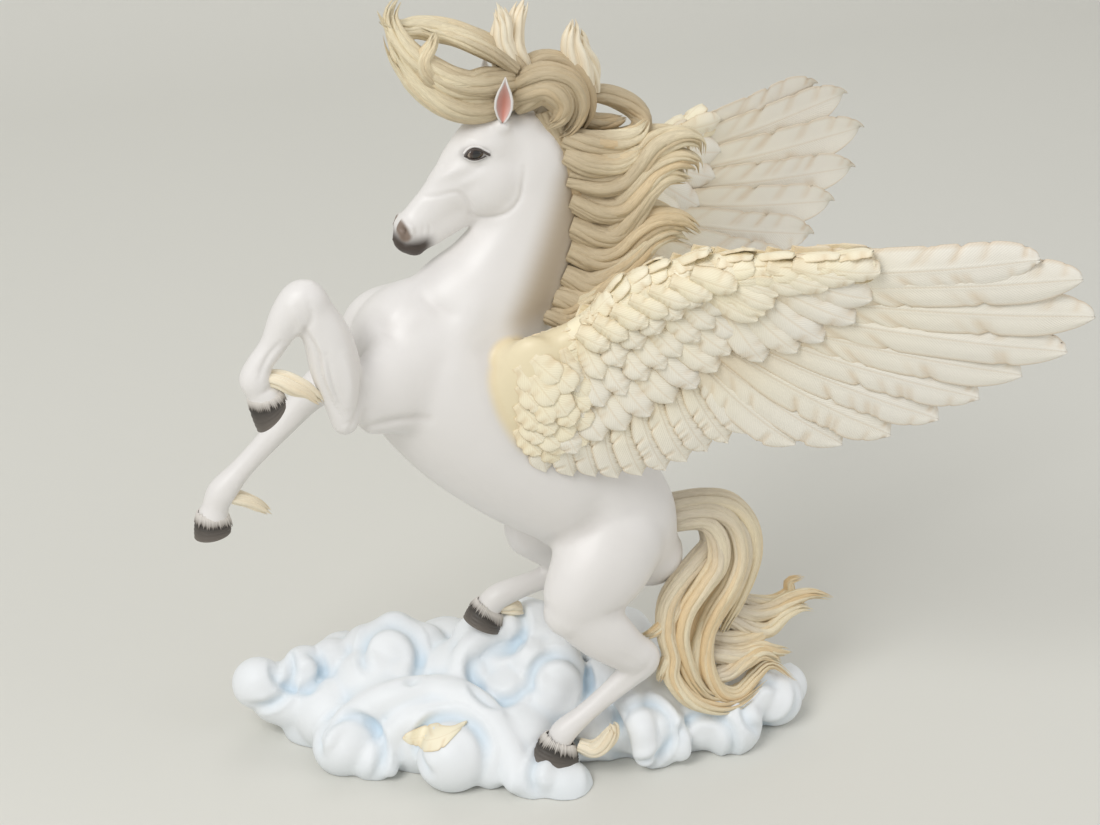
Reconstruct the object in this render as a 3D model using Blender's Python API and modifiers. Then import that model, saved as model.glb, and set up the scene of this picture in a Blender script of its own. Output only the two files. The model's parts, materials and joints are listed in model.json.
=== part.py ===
"""Rearing winged horse on a bank of clouds, one cast figurine about 0.32 m tall.

The horse faces -X, its near side faces -Y, and the cloud bank rests on the plane Z = 0.
Places and sizes are written in millimetres, and MM turns them into the scene's metres.
"""

import math

import bmesh
import bpy
import numpy as np
from mathutils import Matrix

MM = 0.001
NODE = "pegasus_figurine"

# The casting's surface.
VOXEL = 1.1
FINE_VOXEL = 0.8
CREASE_ROUNDS = 8
TRIANGLES = 12000
COAT_COLOUR = (0.86, 0.85, 0.83, 1.0)

# Joints of the skeleton: x towards the tail, y towards the far side, z up.
POLL = (-12, 0, 267)
THROAT = (-8, 0, 257)
CREST = (-10, 0, 228)
CHEST = (-43, 0, 183)
GIRTH = (-24, 0, 163)
BELLY = (-4, 0, 140)
LOIN = (15, 0, 118)
CROUP = (31, 0, 98)
DOCK = (42, 0, 84)
MUZZLE = (-54.3, 0, 230.5)
NEAR_LEGS = -24
FAR_LEGS = 20
ELBOW = (-75, NEAR_LEGS + 3, 181)
KNEE = (-98, NEAR_LEGS, 222)
FORE_FETLOCK = (-117.5, NEAR_LEGS, 196)
FAR_ELBOW = (-68, FAR_LEGS - 2, 181)
FAR_KNEE = (-86, FAR_LEGS, 167)
FAR_FORE_FETLOCK = (-125, FAR_LEGS, 129)
STIFLE = (2, NEAR_LEGS, 79)
HOCK = (31, NEAR_LEGS, 50)
HIND_FETLOCK = (-1.5, NEAR_LEGS, 23)
FAR_STIFLE = (-2, FAR_LEGS, 91)
FAR_HOCK = (21, FAR_LEGS, 72)
FAR_HIND_FETLOCK = (-16, FAR_LEGS, 63)

# Half widths, across the body and in its middle plane.
CHEST_GIRTH = (25, 30)
BARREL_GIRTH = (28, 34)
LOIN_GIRTH = (25, 28)
NECK_GIRTH = (13, 20)
FOREARM_RADIUS = 10.5
CANNON_RADIUS = 4.6
FETLOCK_RADIUS = 5.6
FORE_HOOF_RADIUS = 6.8
HIND_HOOF_RADIUS = 8
EYE_RADIUS = 2.6

# Each hoof's coronet centre, sole centre and radius at the sole, on its own leg's line.
HOOVES = (
    ((-113.5, NEAR_LEGS, 188), (-111, NEAR_LEGS, 177), FORE_HOOF_RADIUS),
    ((-128.7, FAR_LEGS, 118.5), (-130, FAR_LEGS, 109), FORE_HOOF_RADIUS),
    ((-4.5, NEAR_LEGS, 17.5), (-6, NEAR_LEGS, 7.5), HIND_HOOF_RADIUS),
    ((-22.5, FAR_LEGS, 57.5), (-21, FAR_LEGS, 48.5), HIND_HOOF_RADIUS),
)

# The wing lies in a plane that spreads from the midplane and leans out from it. Its own grid
# starts at the root: the first number runs out along the wing and the second up.
WING_ROOT = (-11, -28, 200)
WING_SPREAD = 19.7
WING_LEAN = 13
FAR_WING_RAISE = 2.5
FLANK_BULGE = 13
FEATHER_THICKNESS = 2.0
ROW_STEP = 1.5
EDGE_ROLL = 1.7
LEADING_EDGE = ((-12, -6), (0, -2), (13, 4), (24, 15), (34, 24), (55, 31), (78, 32), (104, 33))
ARM_RADIUS = 6.5
SHOULDER_PAD = ((-4, -24), (15, 27, 8))

# Feather rows: line of the roots, line of the tips, count, half width, layer.
FLIGHT_ROWS = (
    (((80, 28), (76, 18), (68, 4), (55, -10)),
     ((174, 34), (191, 27), (197, 14), (190, -3), (174, -17), (142, -40), (113, -50), (94, -51)),
     10, 8.6, 0),
    (((56, -10), (40, -22), (22, -28), (1, -27)),
     ((76, -45), (60, -55), (42, -62), (26, -62), (12, -58), (2, -54)),
     10, 5.4, 0),
)
COVERT_ROWS = (
    (((88, 33), (76, 25), (64, 16)), ((112, 30), (116, 18), (110, 8), (94, -3), (80, -8)), 6, 6.4, 1.4),
    (((56, 16), (38, 0), (5, -26)), ((70, 4), (64, -12), (48, -27), (28, -38), (12, -44)), 9, 5.6, 1.4),
    (((54, 24), (34, 7), (2, -16)), ((67, 14), (53, -2), (32, -20), (7, -32)), 9, 5.0, 2.4),
    (((46, 26), (26, 10), (0, -6)), ((56, 20), (38, 3), (22, -13), (4, -22)), 7, 4.6, 3.4),
    (((60, 33), (76, 33), (96, 34)), ((84, 22), (100, 26), (118, 33)), 4, 5.0, 2.4),
    (((14, 6), (34, 24), (56, 34)), ((26, 4), (46, 20), (72, 29)), 5, 4.4, 4.2),
)

# Locks of hair: route, half width across the body, half width in its middle plane.
FORELOCK = (
    (((-14, -2, 281), (-27, -4, 279), (-39, -5, 282), (-49, -5, 290), (-57, -5, 300), (-61, -5, 309)), 5, 3.6),
    (((-14, -2, 287), (-28, -5, 288), (-38, -6, 291), (-47, -6, 297), (-55, -6, 305), (-59, -4, 315),
      (-55, -3, 322)), 5, 3.6),
    (((-10, 0, 289), (-19, 1, 297), (-29, 1, 303), (-38, 1, 306), (-48, 0, 308), (-55, -3, 309),
      (-61, -5, 313), (-64, -6, 318)), 5, 3.4),
    (((-40, -6, 288), (-47, -8, 294), (-49, -9, 300), (-46, -9, 305), (-44, -9, 310)), 3, 2.4),
    (((-14, 4, 283), (-28, 5, 281), (-40, 4, 285), (-49, 3, 292), (-55, 2, 300), (-57, 1, 308)), 5, 4),
    (((-15, -5, 291), (-25, -7, 293), (-34, -8, 296), (-41, -8, 298), (-48, -7, 302), (-53, -5, 308)), 4, 3),
    (((-14, -4, 291), (-24, -5, 297), (-30, -5, 299), (-37, -4, 302), (-44, -3, 304), (-52, -3, 308)), 4, 3.2),
    (((-14, -5, 285), (-27, -7, 286), (-38, -7, 288), (-47, -7, 294), (-54, -6, 303)), 4.4, 4),
)
CROWN_LOCKS = (
    (((-12, 0, 284), (-16, 0, 293), (-18, 0, 301), (-18, -1, 309), (-20, -1, 316)), 4, 4.4),
    (((-9, 2, 283), (-11, 2, 291), (-14, 2, 299), (-12, 3, 308), (-8, 4, 316)), 4, 4.4),
    (((14, 4, 278), (12, 4, 288), (9, 4, 297), (10, 4, 306)), 4, 4.4),
    (((19, 8, 277), (18, 8, 285), (14, 6, 294), (12, 5, 302)), 3.6, 3.4),
)
ROLLED_LOCKS = (
    (((-16, -5, 285), (-10, -8, 290), (-3, -9, 291), (5, -9, 287), (9, -8, 278), (6, -7, 269), (0, -6, 265)), 5, 4),
    (((-15, -6, 281), (-8, -9, 286), (-2, -10, 285), (2, -10, 280), (1, -9, 274), (-4, -8, 270)), 5, 4.4),
    (((-12, 3, 286), (-3, 4, 291), (6, 4, 289), (13, 4, 281), (14, 2, 271), (9, 0, 263)), 7, 4.6),
    (((14, 8, 277), (24, 10, 275), (34, 10, 270), (38, 8, 265), (35, 4, 261), (24, 0, 261), (10, -3, 264)), 4.4, 3.8),
    (((8, 4, 272), (18, 4, 267), (26, 5, 266), (32, 7, 266)), 5, 3.2),
)
NECK_LOCKS = (
    (((3, -5, 265), (12, -7, 263), (22, -7, 262), (31, -6, 264), (36, -4, 268)), 4.6, 3.8),
    (((4, -5, 259), (12, -8, 256), (22, -8, 255), (30, -8, 258), (36, -8, 261)), 5, 4.2),
    (((5, -5, 250), (16, -8, 247), (24, -9, 248), (30, -9, 253), (37, -9, 260), (47, -8, 262), (55, -7, 259),
      (57, -6, 253)), 5, 4.2),
    (((6, -5, 241), (16, -8, 237), (24, -10, 238), (30, -11, 245), (36, -10, 251), (45, -9, 254), (54, -7, 251),
      (56, -6, 246)), 5, 4.6),
    (((6, -5, 231), (16, -8, 227), (23, -10, 228), (29, -11, 237), (34, -11, 244), (42, -10, 248), (52, -8, 245)),
     5, 4.6),
    (((5, -6, 222), (15, -9, 218), (23, -11, 221), (29, -12, 228), (37, -12, 232), (48, -10, 230), (57, -8, 223)),
     5, 4.4),
    (((3, -7, 213), (12, -11, 209), (21, -13, 213), (28, -14, 219), (35, -13, 225), (44, -11, 226), (52, -9, 221)),
     5, 4.4),
    (((-1, -8, 205), (9, -12, 203), (16, -15, 207), (23, -15, 214), (30, -14, 219)), 5, 4.4),
    (((-6, -10, 199), (2, -13, 198), (9, -16, 204), (17, -17, 211)), 5, 4),
)
FAR_LOCK_DROP = 4
TAIL_LOCKS = (
    (((48, 0, 105), (66, 0, 104), (77, 0, 100), (84, -1, 90), (86, -2, 78), (83, -4, 67), (78, -6, 57),
      (72, -8, 47), (68, -9, 38)), 6.5, 4.2),
    (((48, -2, 102), (65, -4, 101), (74, -5, 95), (77, -8, 82), (73, -11, 71), (66, -13, 61), (61, -15, 50),
      (61, -16, 37), (67, -16, 24), (76, -15, 20), (85, -13, 26), (92, -12, 29), (104, -11, 18)), 6, 4.4),
    (((48, -2, 99), (63, -5, 98), (68, -8, 91), (67, -11, 81), (59, -15, 74), (51, -18, 66), (48, -20, 56),
      (50, -21, 44), (55, -21, 32), (63, -20, 23), (74, -18, 20)), 6, 4.4),
    (((50, 2, 98), (63, 2, 96), (67, -2, 86), (59, -8, 81), (51, -13, 77), (44, -17, 70), (42, -20, 59),
      (44, -22, 49), (44, -23, 39), (52, -24, 27), (65, -22, 19), (77, -19, 18), (90, -14, 23)), 5.4, 3.8),
    (((48, 3, 103), (68, 4, 101), (80, 5, 92), (82, 6, 78), (76, 7, 62), (68, 8, 48), (64, 8, 34), (70, 6, 24),
      (82, 4, 24)), 7, 5),
    (((53, -6, 74), (46, -8, 68), (40, -9, 64), (33, -9, 61)), 3.4, 3),
    (((47, -21, 52), (41, -23, 45), (38, -24, 38)), 3, 2.6),
    (((78, 0, 58), (88, 1, 52), (100, 4, 48), (107, 5, 51), (107, 5, 56), (114, 5, 57)), 3.6, 2.8),
    (((76, -4, 54), (87, -4, 49), (97, -2, 48), (106, 0, 50), (116, 2, 50), (126, 2, 46)), 4.2, 3.2),
    (((73, -6, 52), (84, -6, 44), (93, -5, 41), (101, -3, 45), (109, -2, 47), (116, -1, 44)), 4.6, 3.4),
    (((66, -8, 45), (79, -8, 41), (90, -6, 41), (99, -4, 44)), 5, 3.6),
    (((62, -12, 40), (76, -12, 36), (87, -10, 36), (96, -8, 32), (104, -6, 29)), 5, 3.6),
    (((60, -14, 31), (71, -14, 30), (79, -14, 34), (88, -12, 35), (98, -10, 27)), 5, 3.6),
)

# Cloud puffs: centre and radius. The ones lower than the ground plane are cut flat there.
CLOUD_CORE = (((-2, 16, 4), (76, 34, 15)), ((-60, 34, 4), (42, 24, 15)), ((52, 0, 4), (54, 26, 13)))
PUFFS = (
    (-112, 46, 24, 11), (-92, 48, 27, 9), (-98, 44, 15, 13), (-80, 50, 27, 9), (-54, 44, 24, 20),
    (-53, 48, 35, 10), (-65, 50, 31, 9), (-42, 42, 32, 9), (-84, 13, 9, 13), (-85, 32, 12, 15),
    (-45, -12, 12, 15), (-52, 7, 11, 16), (-33, 3, 14, 15), (-57, 28, 15, 20), (-12, 21, 26, 17),
    (-22, 27, 38, 12), (0, 22, 46, 10), (-10, 26, 40, 11), (16, 22, 38, 11), (0, 4, 23, 17),
    (5, 3, 33, 11), (-3, -28, -2, 12), (-15, -25, 4, 11), (-16, -7, 12, 16), (39, -12, 13, 18),
    (36, -8, 24, 12), (38, -22, 7, 11), (60, -14, 13, 16), (71, -21, 9, 14), (95, -12, 11, 12),
    (83, -10, 17, 13), (27, 2, 20, 15), (20, -10, 8, 12), (-31, -18, 6, 8), (-74, 4, 5, 9),
    (-30, 50, 17, 18), (-12, 56, 7, 13), (4, 48, 24, 16), (24, 50, 11, 17), (44, 38, 20, 15),
    (58, 30, 8, 17), (72, 18, 17, 14), (88, 12, 9, 15), (-54, 62, 10, 14), (-74, 58, 22, 11),
    (-90, 56, 14, 12), (104, -2, 9, 10),
)


def spline(knots, per_span):
    """Points of a Catmull-Rom curve through the rows of knots."""
    knots = np.asarray(knots, float)
    rows = np.vstack([2 * knots[0] - knots[1], knots, 2 * knots[-1] - knots[-2]])
    points = []
    for before, start, end, after in zip(rows, rows[1:], rows[2:], rows[3:]):
        for step in np.arange(per_span) / per_span:
            bend = 2 * before - 5 * start + 4 * end - after
            twist = 3 * start - before - 3 * end + after
            points.append(start + 0.5 * ((end - before) * step + bend * step ** 2 + twist * step ** 3))
    return np.vstack([points, knots[-1]])


def along(line, count):
    """Evenly spaced points along a smooth line through a few places."""
    curve = spline(line, 12)
    reach = np.concatenate([[0], np.cumsum(np.linalg.norm(np.diff(curve, axis=0), axis=1))])
    wanted = np.linspace(0, reach[-1], count)
    return np.stack([np.interp(wanted, reach, curve[:, axis]) for axis in range(curve.shape[1])], axis=1)


def loft(mesh, rows, sides=18, per_span=5):
    """Closed body with rounded ends through rows of centre, half width across and in plane."""
    rows = spline(rows, per_span)
    centres, across, within = rows[:, :3], rows[:, 3], rows[:, 4]
    runs = np.gradient(centres, axis=0)
    runs /= np.linalg.norm(runs, axis=1, keepdims=True)
    sideways = np.array((0.0, 1.0, 0.0)) - runs * runs[:, 1:2]
    sideways /= np.linalg.norm(sideways, axis=1, keepdims=True)
    upward = np.cross(runs, sideways)
    stations = [(0, -math.radians(angle)) for angle in (75, 50, 25)]
    stations += [(index, 0.0) for index in range(len(rows))]
    stations += [(len(rows) - 1, math.radians(angle)) for angle in (25, 50, 75)]
    turns = np.linspace(0, 2 * math.pi, sides, endpoint=False)
    rings = []
    for index, cap in stations:
        centre = centres[index] + runs[index] * math.sin(cap) * min(across[index], within[index])
        spread = np.outer(np.cos(turns) * across[index], sideways[index])
        spread += np.outer(np.sin(turns) * within[index], upward[index])
        rings.append([mesh.verts.new(centre + offset * math.cos(cap)) for offset in spread])
    for ring, following in zip(rings, rings[1:]):
        for side in range(sides):
            after = (side + 1) % sides
            mesh.faces.new((ring[side], ring[after], following[after], following[side]))
    mesh.faces.new(reversed(rings[0]))
    mesh.faces.new(rings[-1])


def ball(mesh, centre, radii, tilt=0):
    """Ellipsoid whose first axis rises by tilt degrees from +X in the middle plane."""
    place = Matrix.Translation(centre) @ Matrix.Rotation(-math.radians(tilt), 4, "Y")
    shape = place @ Matrix.Diagonal((*radii, 1))
    bmesh.ops.create_uvsphere(mesh, u_segments=24, v_segments=16, radius=1, matrix=shape)


def lock(mesh, route, across, within):
    """Tapering lock of hair along its route, thickest near the middle."""
    points = along(route, 4 * len(route))
    share = np.linspace(0, 1, len(points))
    taper = np.sin(math.pi * (0.2 + 0.77 * share)) ** 0.6
    rows = np.column_stack([points, across * taper, within * taper])
    loft(mesh, rows, sides=12, per_span=1)


def trunk_and_neck(mesh):
    """Barrel, quarters, breast and neck."""
    chest, barrel, loin, neck = CHEST_GIRTH, BARREL_GIRTH, LOIN_GIRTH, NECK_GIRTH
    loft(mesh, [
        (*DOCK, 14, 14), (*CROUP, 22, 24), (*LOIN, *loin), (*BELLY, barrel[0], barrel[1] - 1),
        (*GIRTH, *barrel), (*CHEST, *chest), (-56, 0, 195, chest[0] - 7, chest[1] - 8),
    ])
    loft(mesh, [
        (-36, 0, 186, neck[0] + 9, neck[1] + 10), (-27, 0, 199, neck[0] + 7, neck[1] + 9),
        (-17, 0, 213, neck[0] + 3, neck[1] + 4), (*CREST, *neck), (-7, 0, 244, neck[0] - 2, neck[1] - 3),
        (*THROAT, neck[0] - 3, neck[1] - 5), (*POLL, neck[0] - 5, neck[1] - 9),
    ])


def head(mesh):
    """Skull from poll to muzzle, with cheeks, eyes and ears."""
    loft(mesh, [
        (-12, 0, 268, 7, 8), (-22, 0, 265, 10, 12), (-31, 0, 258.5, 10.6, 13.2), (-37.5, 0, 251, 9, 11.8),
        (-43, 0, 245, 7.2, 9.6), (-48.5, 0, 239, 6.6, 8.4), (-52, 0, 234.5, 6.6, 7.8), (*MUZZLE, 5.8, 6.2),
    ])
    for side in (-1, 1):
        ball(mesh, (-22.5, side * 4.5, 250.5), (12.5, 7.5, 13.5))
        ball(mesh, (-30.5, side * 8.6, 262.5), (EYE_RADIUS + 0.6, EYE_RADIUS, EYE_RADIUS))
        loft(mesh, [
            (-17, side * 6, 272, 3, 3.6), (-18.5, side * 7.5, 279, 2.4, 4), (-18.5, side * 8.5, 285, 1.6, 3),
            (-18.5, side * 8.5, 291, 0.8, 0.8),
        ], sides=10)


def hoof(mesh, coronet, sole, radius):
    """Flaring hoof from the coronet to a flat sole."""
    coronet, sole = np.array(coronet, float), np.array(sole, float)
    drop = sole - coronet
    turn = Matrix.Rotation(math.atan2(drop[0], -drop[2]) * -1, 4, "Y")
    place = Matrix.Translation((coronet + sole) / 2) @ turn
    bmesh.ops.create_cone(
        mesh, cap_ends=True, segments=18, radius1=radius, radius2=radius * 0.86,
        depth=float(np.linalg.norm(drop)), matrix=place @ Matrix.Diagonal((1.08, 0.92, 1, 1)))


def legs(mesh):
    """Four legs, each a thick upper part, a cannon and a fetlock above its hoof."""
    arm, cannon, fetlock = FOREARM_RADIUS, CANNON_RADIUS, FETLOCK_RADIUS
    near, far = NEAR_LEGS, FAR_LEGS
    loft(mesh, [(-50, near / 2, 197, 14, 17), (-64, near + 8, 186, 13, 15), (*ELBOW, 12, 12.5)])
    loft(mesh, [
        (*ELBOW, arm, 12), (-82, near, 192, arm, 12), (-88, near, 204, arm - 1.5, 10),
        (-94, near, 215, 7.4, 8), (*KNEE, 7.2, 7.8), (-105, near, 216, 5.8, 6.2), (-110, near, 207, cannon, 5),
        (-115, near, 201, cannon - 0.1, 4.8), (*FORE_FETLOCK, fetlock, 6), (-116, near, 191, 4.8, 5.2),
        (-114, near, 187.5, 5.6, 6),
    ])
    loft(mesh, [(-54, far - 7, 197, 13, 15), (-63, far - 3, 193, 12, 13), (*FAR_ELBOW, 10, 11)])
    loft(mesh, [
        (*FAR_ELBOW, arm - 1, arm), (-77, far, 173, 7.6, 8.6), (*FAR_KNEE, 6.8, 7.4), (-91, far, 163, 5.8, 6.2),
        (-102, far, 152, cannon, 5), (-116, far, 138.5, cannon - 0.4, 4.4), (*FAR_FORE_FETLOCK, fetlock - 0.2, 5.8),
        (-128, far, 122.5, 4.4, 4.8), (-129, far, 118.5, 5.4, 5.8),
    ])
    loft(mesh, [(23, near + 11, 104, 16, 22), (14, near + 5, 93, 15, 21), (4, near + 1, 82, 11.5, 16),
                (0, near, 76, 9, 11)])
    loft(mesh, [
        (*STIFLE, 9, 12), (14, near - 1, 66, 8.5, 11.5), (24, near - 1, 56, 7, 9), (*HOCK, 6.4, 7.6),
        (26, near, 44, 4.8, 6), (18, near, 37.5, cannon - 0.2, 5), (7, near, 29, cannon - 0.2, 4.6),
        (*HIND_FETLOCK, fetlock, 5.8), (-4, near, 19.5, 4.8, 5.2), (-4.5, near, 16.5, 6, 6.4),
    ])
    loft(mesh, [(26, far - 8, 104, 16, 20), (12, far - 3, 99, 13, 18), (*FAR_STIFLE, 10, 13)])
    loft(mesh, [
        (*FAR_STIFLE, 9, 11), (10, far, 81, 8, 10), (*FAR_HOCK, 6.4, 7.6), (14, far, 70, 4.8, 5.6),
        (-2, far, 66.5, cannon - 0.2, 4.8), (*FAR_HIND_FETLOCK, fetlock - 0.2, 5.6), (-20.5, far, 60, 4.6, 5),
        (-22, far, 57.5, 5.8, 6),
    ])
    for coronet, sole, radius in HOOVES:
        hoof(mesh, coronet, sole, radius)


def wing_frame(side):
    """Root, directions out and up along the wing of one side, and its outward normal."""
    spread, lean = math.radians(WING_SPREAD), math.radians(WING_LEAN)
    lift = math.radians(FAR_WING_RAISE) if side > 0 else 0.0
    out = np.array((math.cos(spread), math.sin(spread) * side, 0))
    sideways = np.array((-math.sin(spread), math.cos(spread) * side, 0))
    up = sideways * math.sin(lean) + np.array((0, 0, math.cos(lean)))
    normal = sideways * math.cos(lean) - np.array((0, 0, math.sin(lean)))
    root = np.array((WING_ROOT[0], abs(WING_ROOT[1]) * side, WING_ROOT[2]), float)
    raised_out = out * math.cos(lift) + up * math.sin(lift)
    raised_up = up * math.cos(lift) - out * math.sin(lift)
    return root, raised_out, raised_up, normal


def on_wing(side, places, heights):
    """World places of points on the wing's own grid, raised off its sheet by the heights."""
    root, out, up, normal = wing_frame(side)
    places = np.atleast_2d(places)
    low = np.clip(-places[:, 1] / 45, 0, 1)
    near = np.clip(1 - places[:, 0] / 60, 0, 1)
    raised = heights + FLANK_BULGE * low * near
    return root + places[:, :1] * out + places[:, 1:2] * up + raised[:, None] * normal


def feather(mesh, side, root, tip, half_width, height, bow):
    """Blade from root to tip with a raised shaft line, a round end and one edge lifted."""
    blade = bmesh.ops.create_grid(mesh, x_segments=7, y_segments=4, size=0.5)["verts"]
    share = np.array([vert.co.x + 0.5 for vert in blade])
    off_centre = np.array([2 * vert.co.y for vert in blade])
    run = tip - root
    length = np.linalg.norm(run)
    run = run / length
    cross = np.array((-run[1], run[0]))
    end = np.clip((share - 0.72) / 0.28, 0, 1)
    width = half_width * (0.7 + 0.3 * np.clip(share / 0.5, 0, 1)) * np.sqrt(1 - 0.9 * end ** 2)
    middle = root + np.outer(share * length, run) + np.outer(bow * np.sin(math.pi * share), cross)
    places = middle + np.outer(off_centre * width, cross)
    facing = -1 if height < 0 else 1
    heights = height + facing * (share + 0.4 * (1 - off_centre ** 2)) - EDGE_ROLL * off_centre
    for vert, place in zip(blade, on_wing(side, places, heights)):
        vert.co = place


def plant_row(mesh, side, roots, tips, count, half_width, height, bow):
    """One row of overlapping feathers between its line of roots and its line of tips."""
    for root, tip in zip(along(roots, count), along(tips, count)):
        feather(mesh, side, root, tip, half_width, height, bow)


def wing_feathers(mesh, side):
    """Flight feathers seen from both sides, and rows of coverts on each side."""
    for roots, tips, count, half_width, layer in FLIGHT_ROWS:
        plant_row(mesh, side, roots, tips, count, half_width, layer, 2.0)
    for roots, tips, count, half_width, layer in COVERT_ROWS:
        height = ROW_STEP * layer
        plant_row(mesh, side, roots, tips, count, half_width, height, 0.6)
        plant_row(mesh, side, roots, tips, count, half_width, -height, 0.6)


def wing_arm(mesh, side):
    """Leading edge and the pad that seats the wing on the shoulder."""
    places = along(LEADING_EDGE, 16)
    share = np.linspace(0, 1, len(places))
    radii = ARM_RADIUS * (1 - 0.62 * share ** 2)
    sunk = np.column_stack([np.zeros(len(places)), 0.7 * radii])
    centres = on_wing(side, places - sunk, np.zeros(len(places)))
    loft(mesh, np.column_stack([centres, radii, radii]), sides=14, per_span=1)
    (run, rise), radii = SHOULDER_PAD
    centre = on_wing(side, np.array([(run, rise)]), np.zeros(1))[0]
    _, out, up, normal = wing_frame(side)
    turn = Matrix(np.column_stack([out, up, normal]).tolist()).to_4x4()
    shape = Matrix.Translation(centre) @ turn @ Matrix.Diagonal((*radii, 1))
    bmesh.ops.create_uvsphere(mesh, u_segments=24, v_segments=16, radius=1, matrix=shape)


def hair(mesh):
    """Forelock, crown tufts, mane on both sides of the neck, and tail."""
    for route, across, within in FORELOCK + CROWN_LOCKS + ROLLED_LOCKS + NECK_LOCKS + TAIL_LOCKS:
        lock(mesh, route, across, within)
    for route, across, within in NECK_LOCKS:
        far_route = [(x, -0.7 * y + 1, z - FAR_LOCK_DROP) for x, y, z in route]
        lock(mesh, far_route, across, within)
    ball(mesh, (-4, -3, 280), (9, 7, 8))
    loft(mesh, [(-4, 0, 276, 9, 10), (2, 0, 262, 8, 8), (10, 0, 245, 8, 8), (12, 0, 225, 8, 8),
                (8, -2, 208, 8, 8), (0, -6, 198, 7, 6)])
    loft(mesh, [(38, 0, 97, 6, 6), (52, 0, 101, 5, 5.5), (64, 0, 100, 5.5, 6), (75, -1, 94, 6, 7),
                (78, -3, 82, 6, 8), (73, -6, 68, 8, 10), (63, -10, 54, 9, 12), (56, -14, 40, 9, 11),
                (60, -14, 28, 10, 9), (72, -12, 23, 9, 6)])


def clouds(mesh):
    """Bank of puffs around a low core."""
    for centre, radii in CLOUD_CORE:
        ball(mesh, centre, radii)
    for x, y, z, radius in PUFFS:
        ball(mesh, (x, y, z), (radius, radius, radius))


def as_object(mesh, name):
    """Object with the mesh's shape turned from millimetres into metres."""
    bmesh.ops.transform(mesh, matrix=Matrix.Scale(MM, 4), verts=mesh.verts)
    data = bpy.data.meshes.new(name)
    mesh.to_mesh(data)
    mesh.free()
    return bpy.data.objects.new(name, data)


def applied(shape, kind, **settings):
    """Copy of the object's mesh with one modifier applied."""
    modifier = shape.modifiers.new(kind.title(), kind)
    for name, value in settings.items():
        setattr(modifier, name, value)
    depsgraph = bpy.context.evaluated_depsgraph_get()
    depsgraph.update()
    result = bpy.data.meshes.new_from_object(shape.evaluated_get(depsgraph))
    shape.modifiers.clear()
    return result


def fill_creases(data, rounds):
    """Round the hollows between joined shapes, leaving crests where they are."""
    count = len(data.vertices)
    places = np.empty(count * 3)
    data.vertices.foreach_get("co", places)
    places = places.reshape(count, 3)
    edges = np.empty(len(data.edges) * 2, int)
    data.edges.foreach_get("vertices", edges)
    first, second = edges.reshape(-1, 2).T
    valence = np.bincount(first, minlength=count) + np.bincount(second, minlength=count)
    for _ in range(rounds):
        total = np.stack([
            np.bincount(first, weights=places[second, axis], minlength=count)
            + np.bincount(second, weights=places[first, axis], minlength=count) for axis in range(3)], axis=1)
        pull = total / valence[:, None] - places
        data.vertices.foreach_set("co", places.ravel())
        data.update()
        normals = np.empty(count * 3)
        data.vertices.foreach_get("normal", normals)
        normals = normals.reshape(count, 3)
        outward = np.maximum((pull * normals).sum(axis=1), 0)
        places = places + normals * outward[:, None]
    data.vertices.foreach_set("co", places.ravel())
    data.update()


def wings():
    """Mesh of both wings: every feather made solid, with the arms that carry them."""
    blades = bmesh.new()
    for side in (-1, 1):
        wing_feathers(blades, side)
    sheets = as_object(blades, "feathers")
    bpy.context.scene.collection.objects.link(sheets)
    solid = applied(sheets, "SOLIDIFY", thickness=FEATHER_THICKNESS * MM, offset=0.0)
    bpy.data.objects.remove(sheets)
    mesh = bmesh.new()
    mesh.from_mesh(solid)
    bmesh.ops.transform(mesh, matrix=Matrix.Scale(1 / MM, 4), verts=mesh.verts)
    for side in (-1, 1):
        wing_arm(mesh, side)
    return mesh


def cut_flat(data):
    """Close the casting with a flat face on the ground plane."""
    mesh = bmesh.new()
    mesh.from_mesh(data)
    parts = mesh.verts[:] + mesh.edges[:] + mesh.faces[:]
    cut = bmesh.ops.bisect_plane(mesh, geom=parts, plane_co=(0, 0, 0), plane_no=(0, 0, 1), clear_inner=True)
    rim = [item for item in cut["geom_cut"] if isinstance(item, bmesh.types.BMEdge)]
    bmesh.ops.edgenet_fill(mesh, edges=rim)
    bmesh.ops.triangulate(mesh, faces=mesh.faces)
    mesh.to_mesh(data)
    mesh.free()


def coat():
    """Satin white paint of the horse."""
    material = bpy.data.materials.new("satin_white")
    material.use_nodes = True
    paint = material.node_tree.nodes["Principled BSDF"]
    paint.inputs["Base Color"].default_value = COAT_COLOUR
    paint.inputs["Roughness"].default_value = 0.45
    paint.inputs["Metallic"].default_value = 0.0
    return material


def main():
    """Join every shape into one casting and stand it on its flat underside."""
    for old in list(bpy.data.objects):
        bpy.data.objects.remove(old)
    collection = bpy.data.collections.new("Pegasus figurine")
    bpy.context.scene.collection.children.link(collection)

    smooth = bmesh.new()
    for build in (trunk_and_neck, head, legs, clouds):
        build(smooth)
    figure = as_object(smooth, NODE)
    collection.objects.link(figure)
    figure.data = applied(figure, "REMESH", mode="VOXEL", voxel_size=VOXEL * MM)
    fill_creases(figure.data, CREASE_ROUNDS)

    carved = wings()
    hair(carved)
    crisp = as_object(carved, "hair_and_wings")
    whole = bmesh.new()
    whole.from_mesh(figure.data)
    whole.from_mesh(crisp.data)
    whole.to_mesh(figure.data)
    whole.free()
    bpy.data.objects.remove(crisp)
    figure.data = applied(figure, "REMESH", mode="VOXEL", voxel_size=FINE_VOXEL * MM)
    triangles = 2 * len(figure.data.polygons)
    figure.data = applied(figure, "DECIMATE", ratio=min(1.0, TRIANGLES / triangles))
    cut_flat(figure.data)
    figure.data.name = NODE
    figure.data.materials.append(coat())
    figure.data.shade_smooth()


if __name__ == "__main__":
    main()
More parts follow.
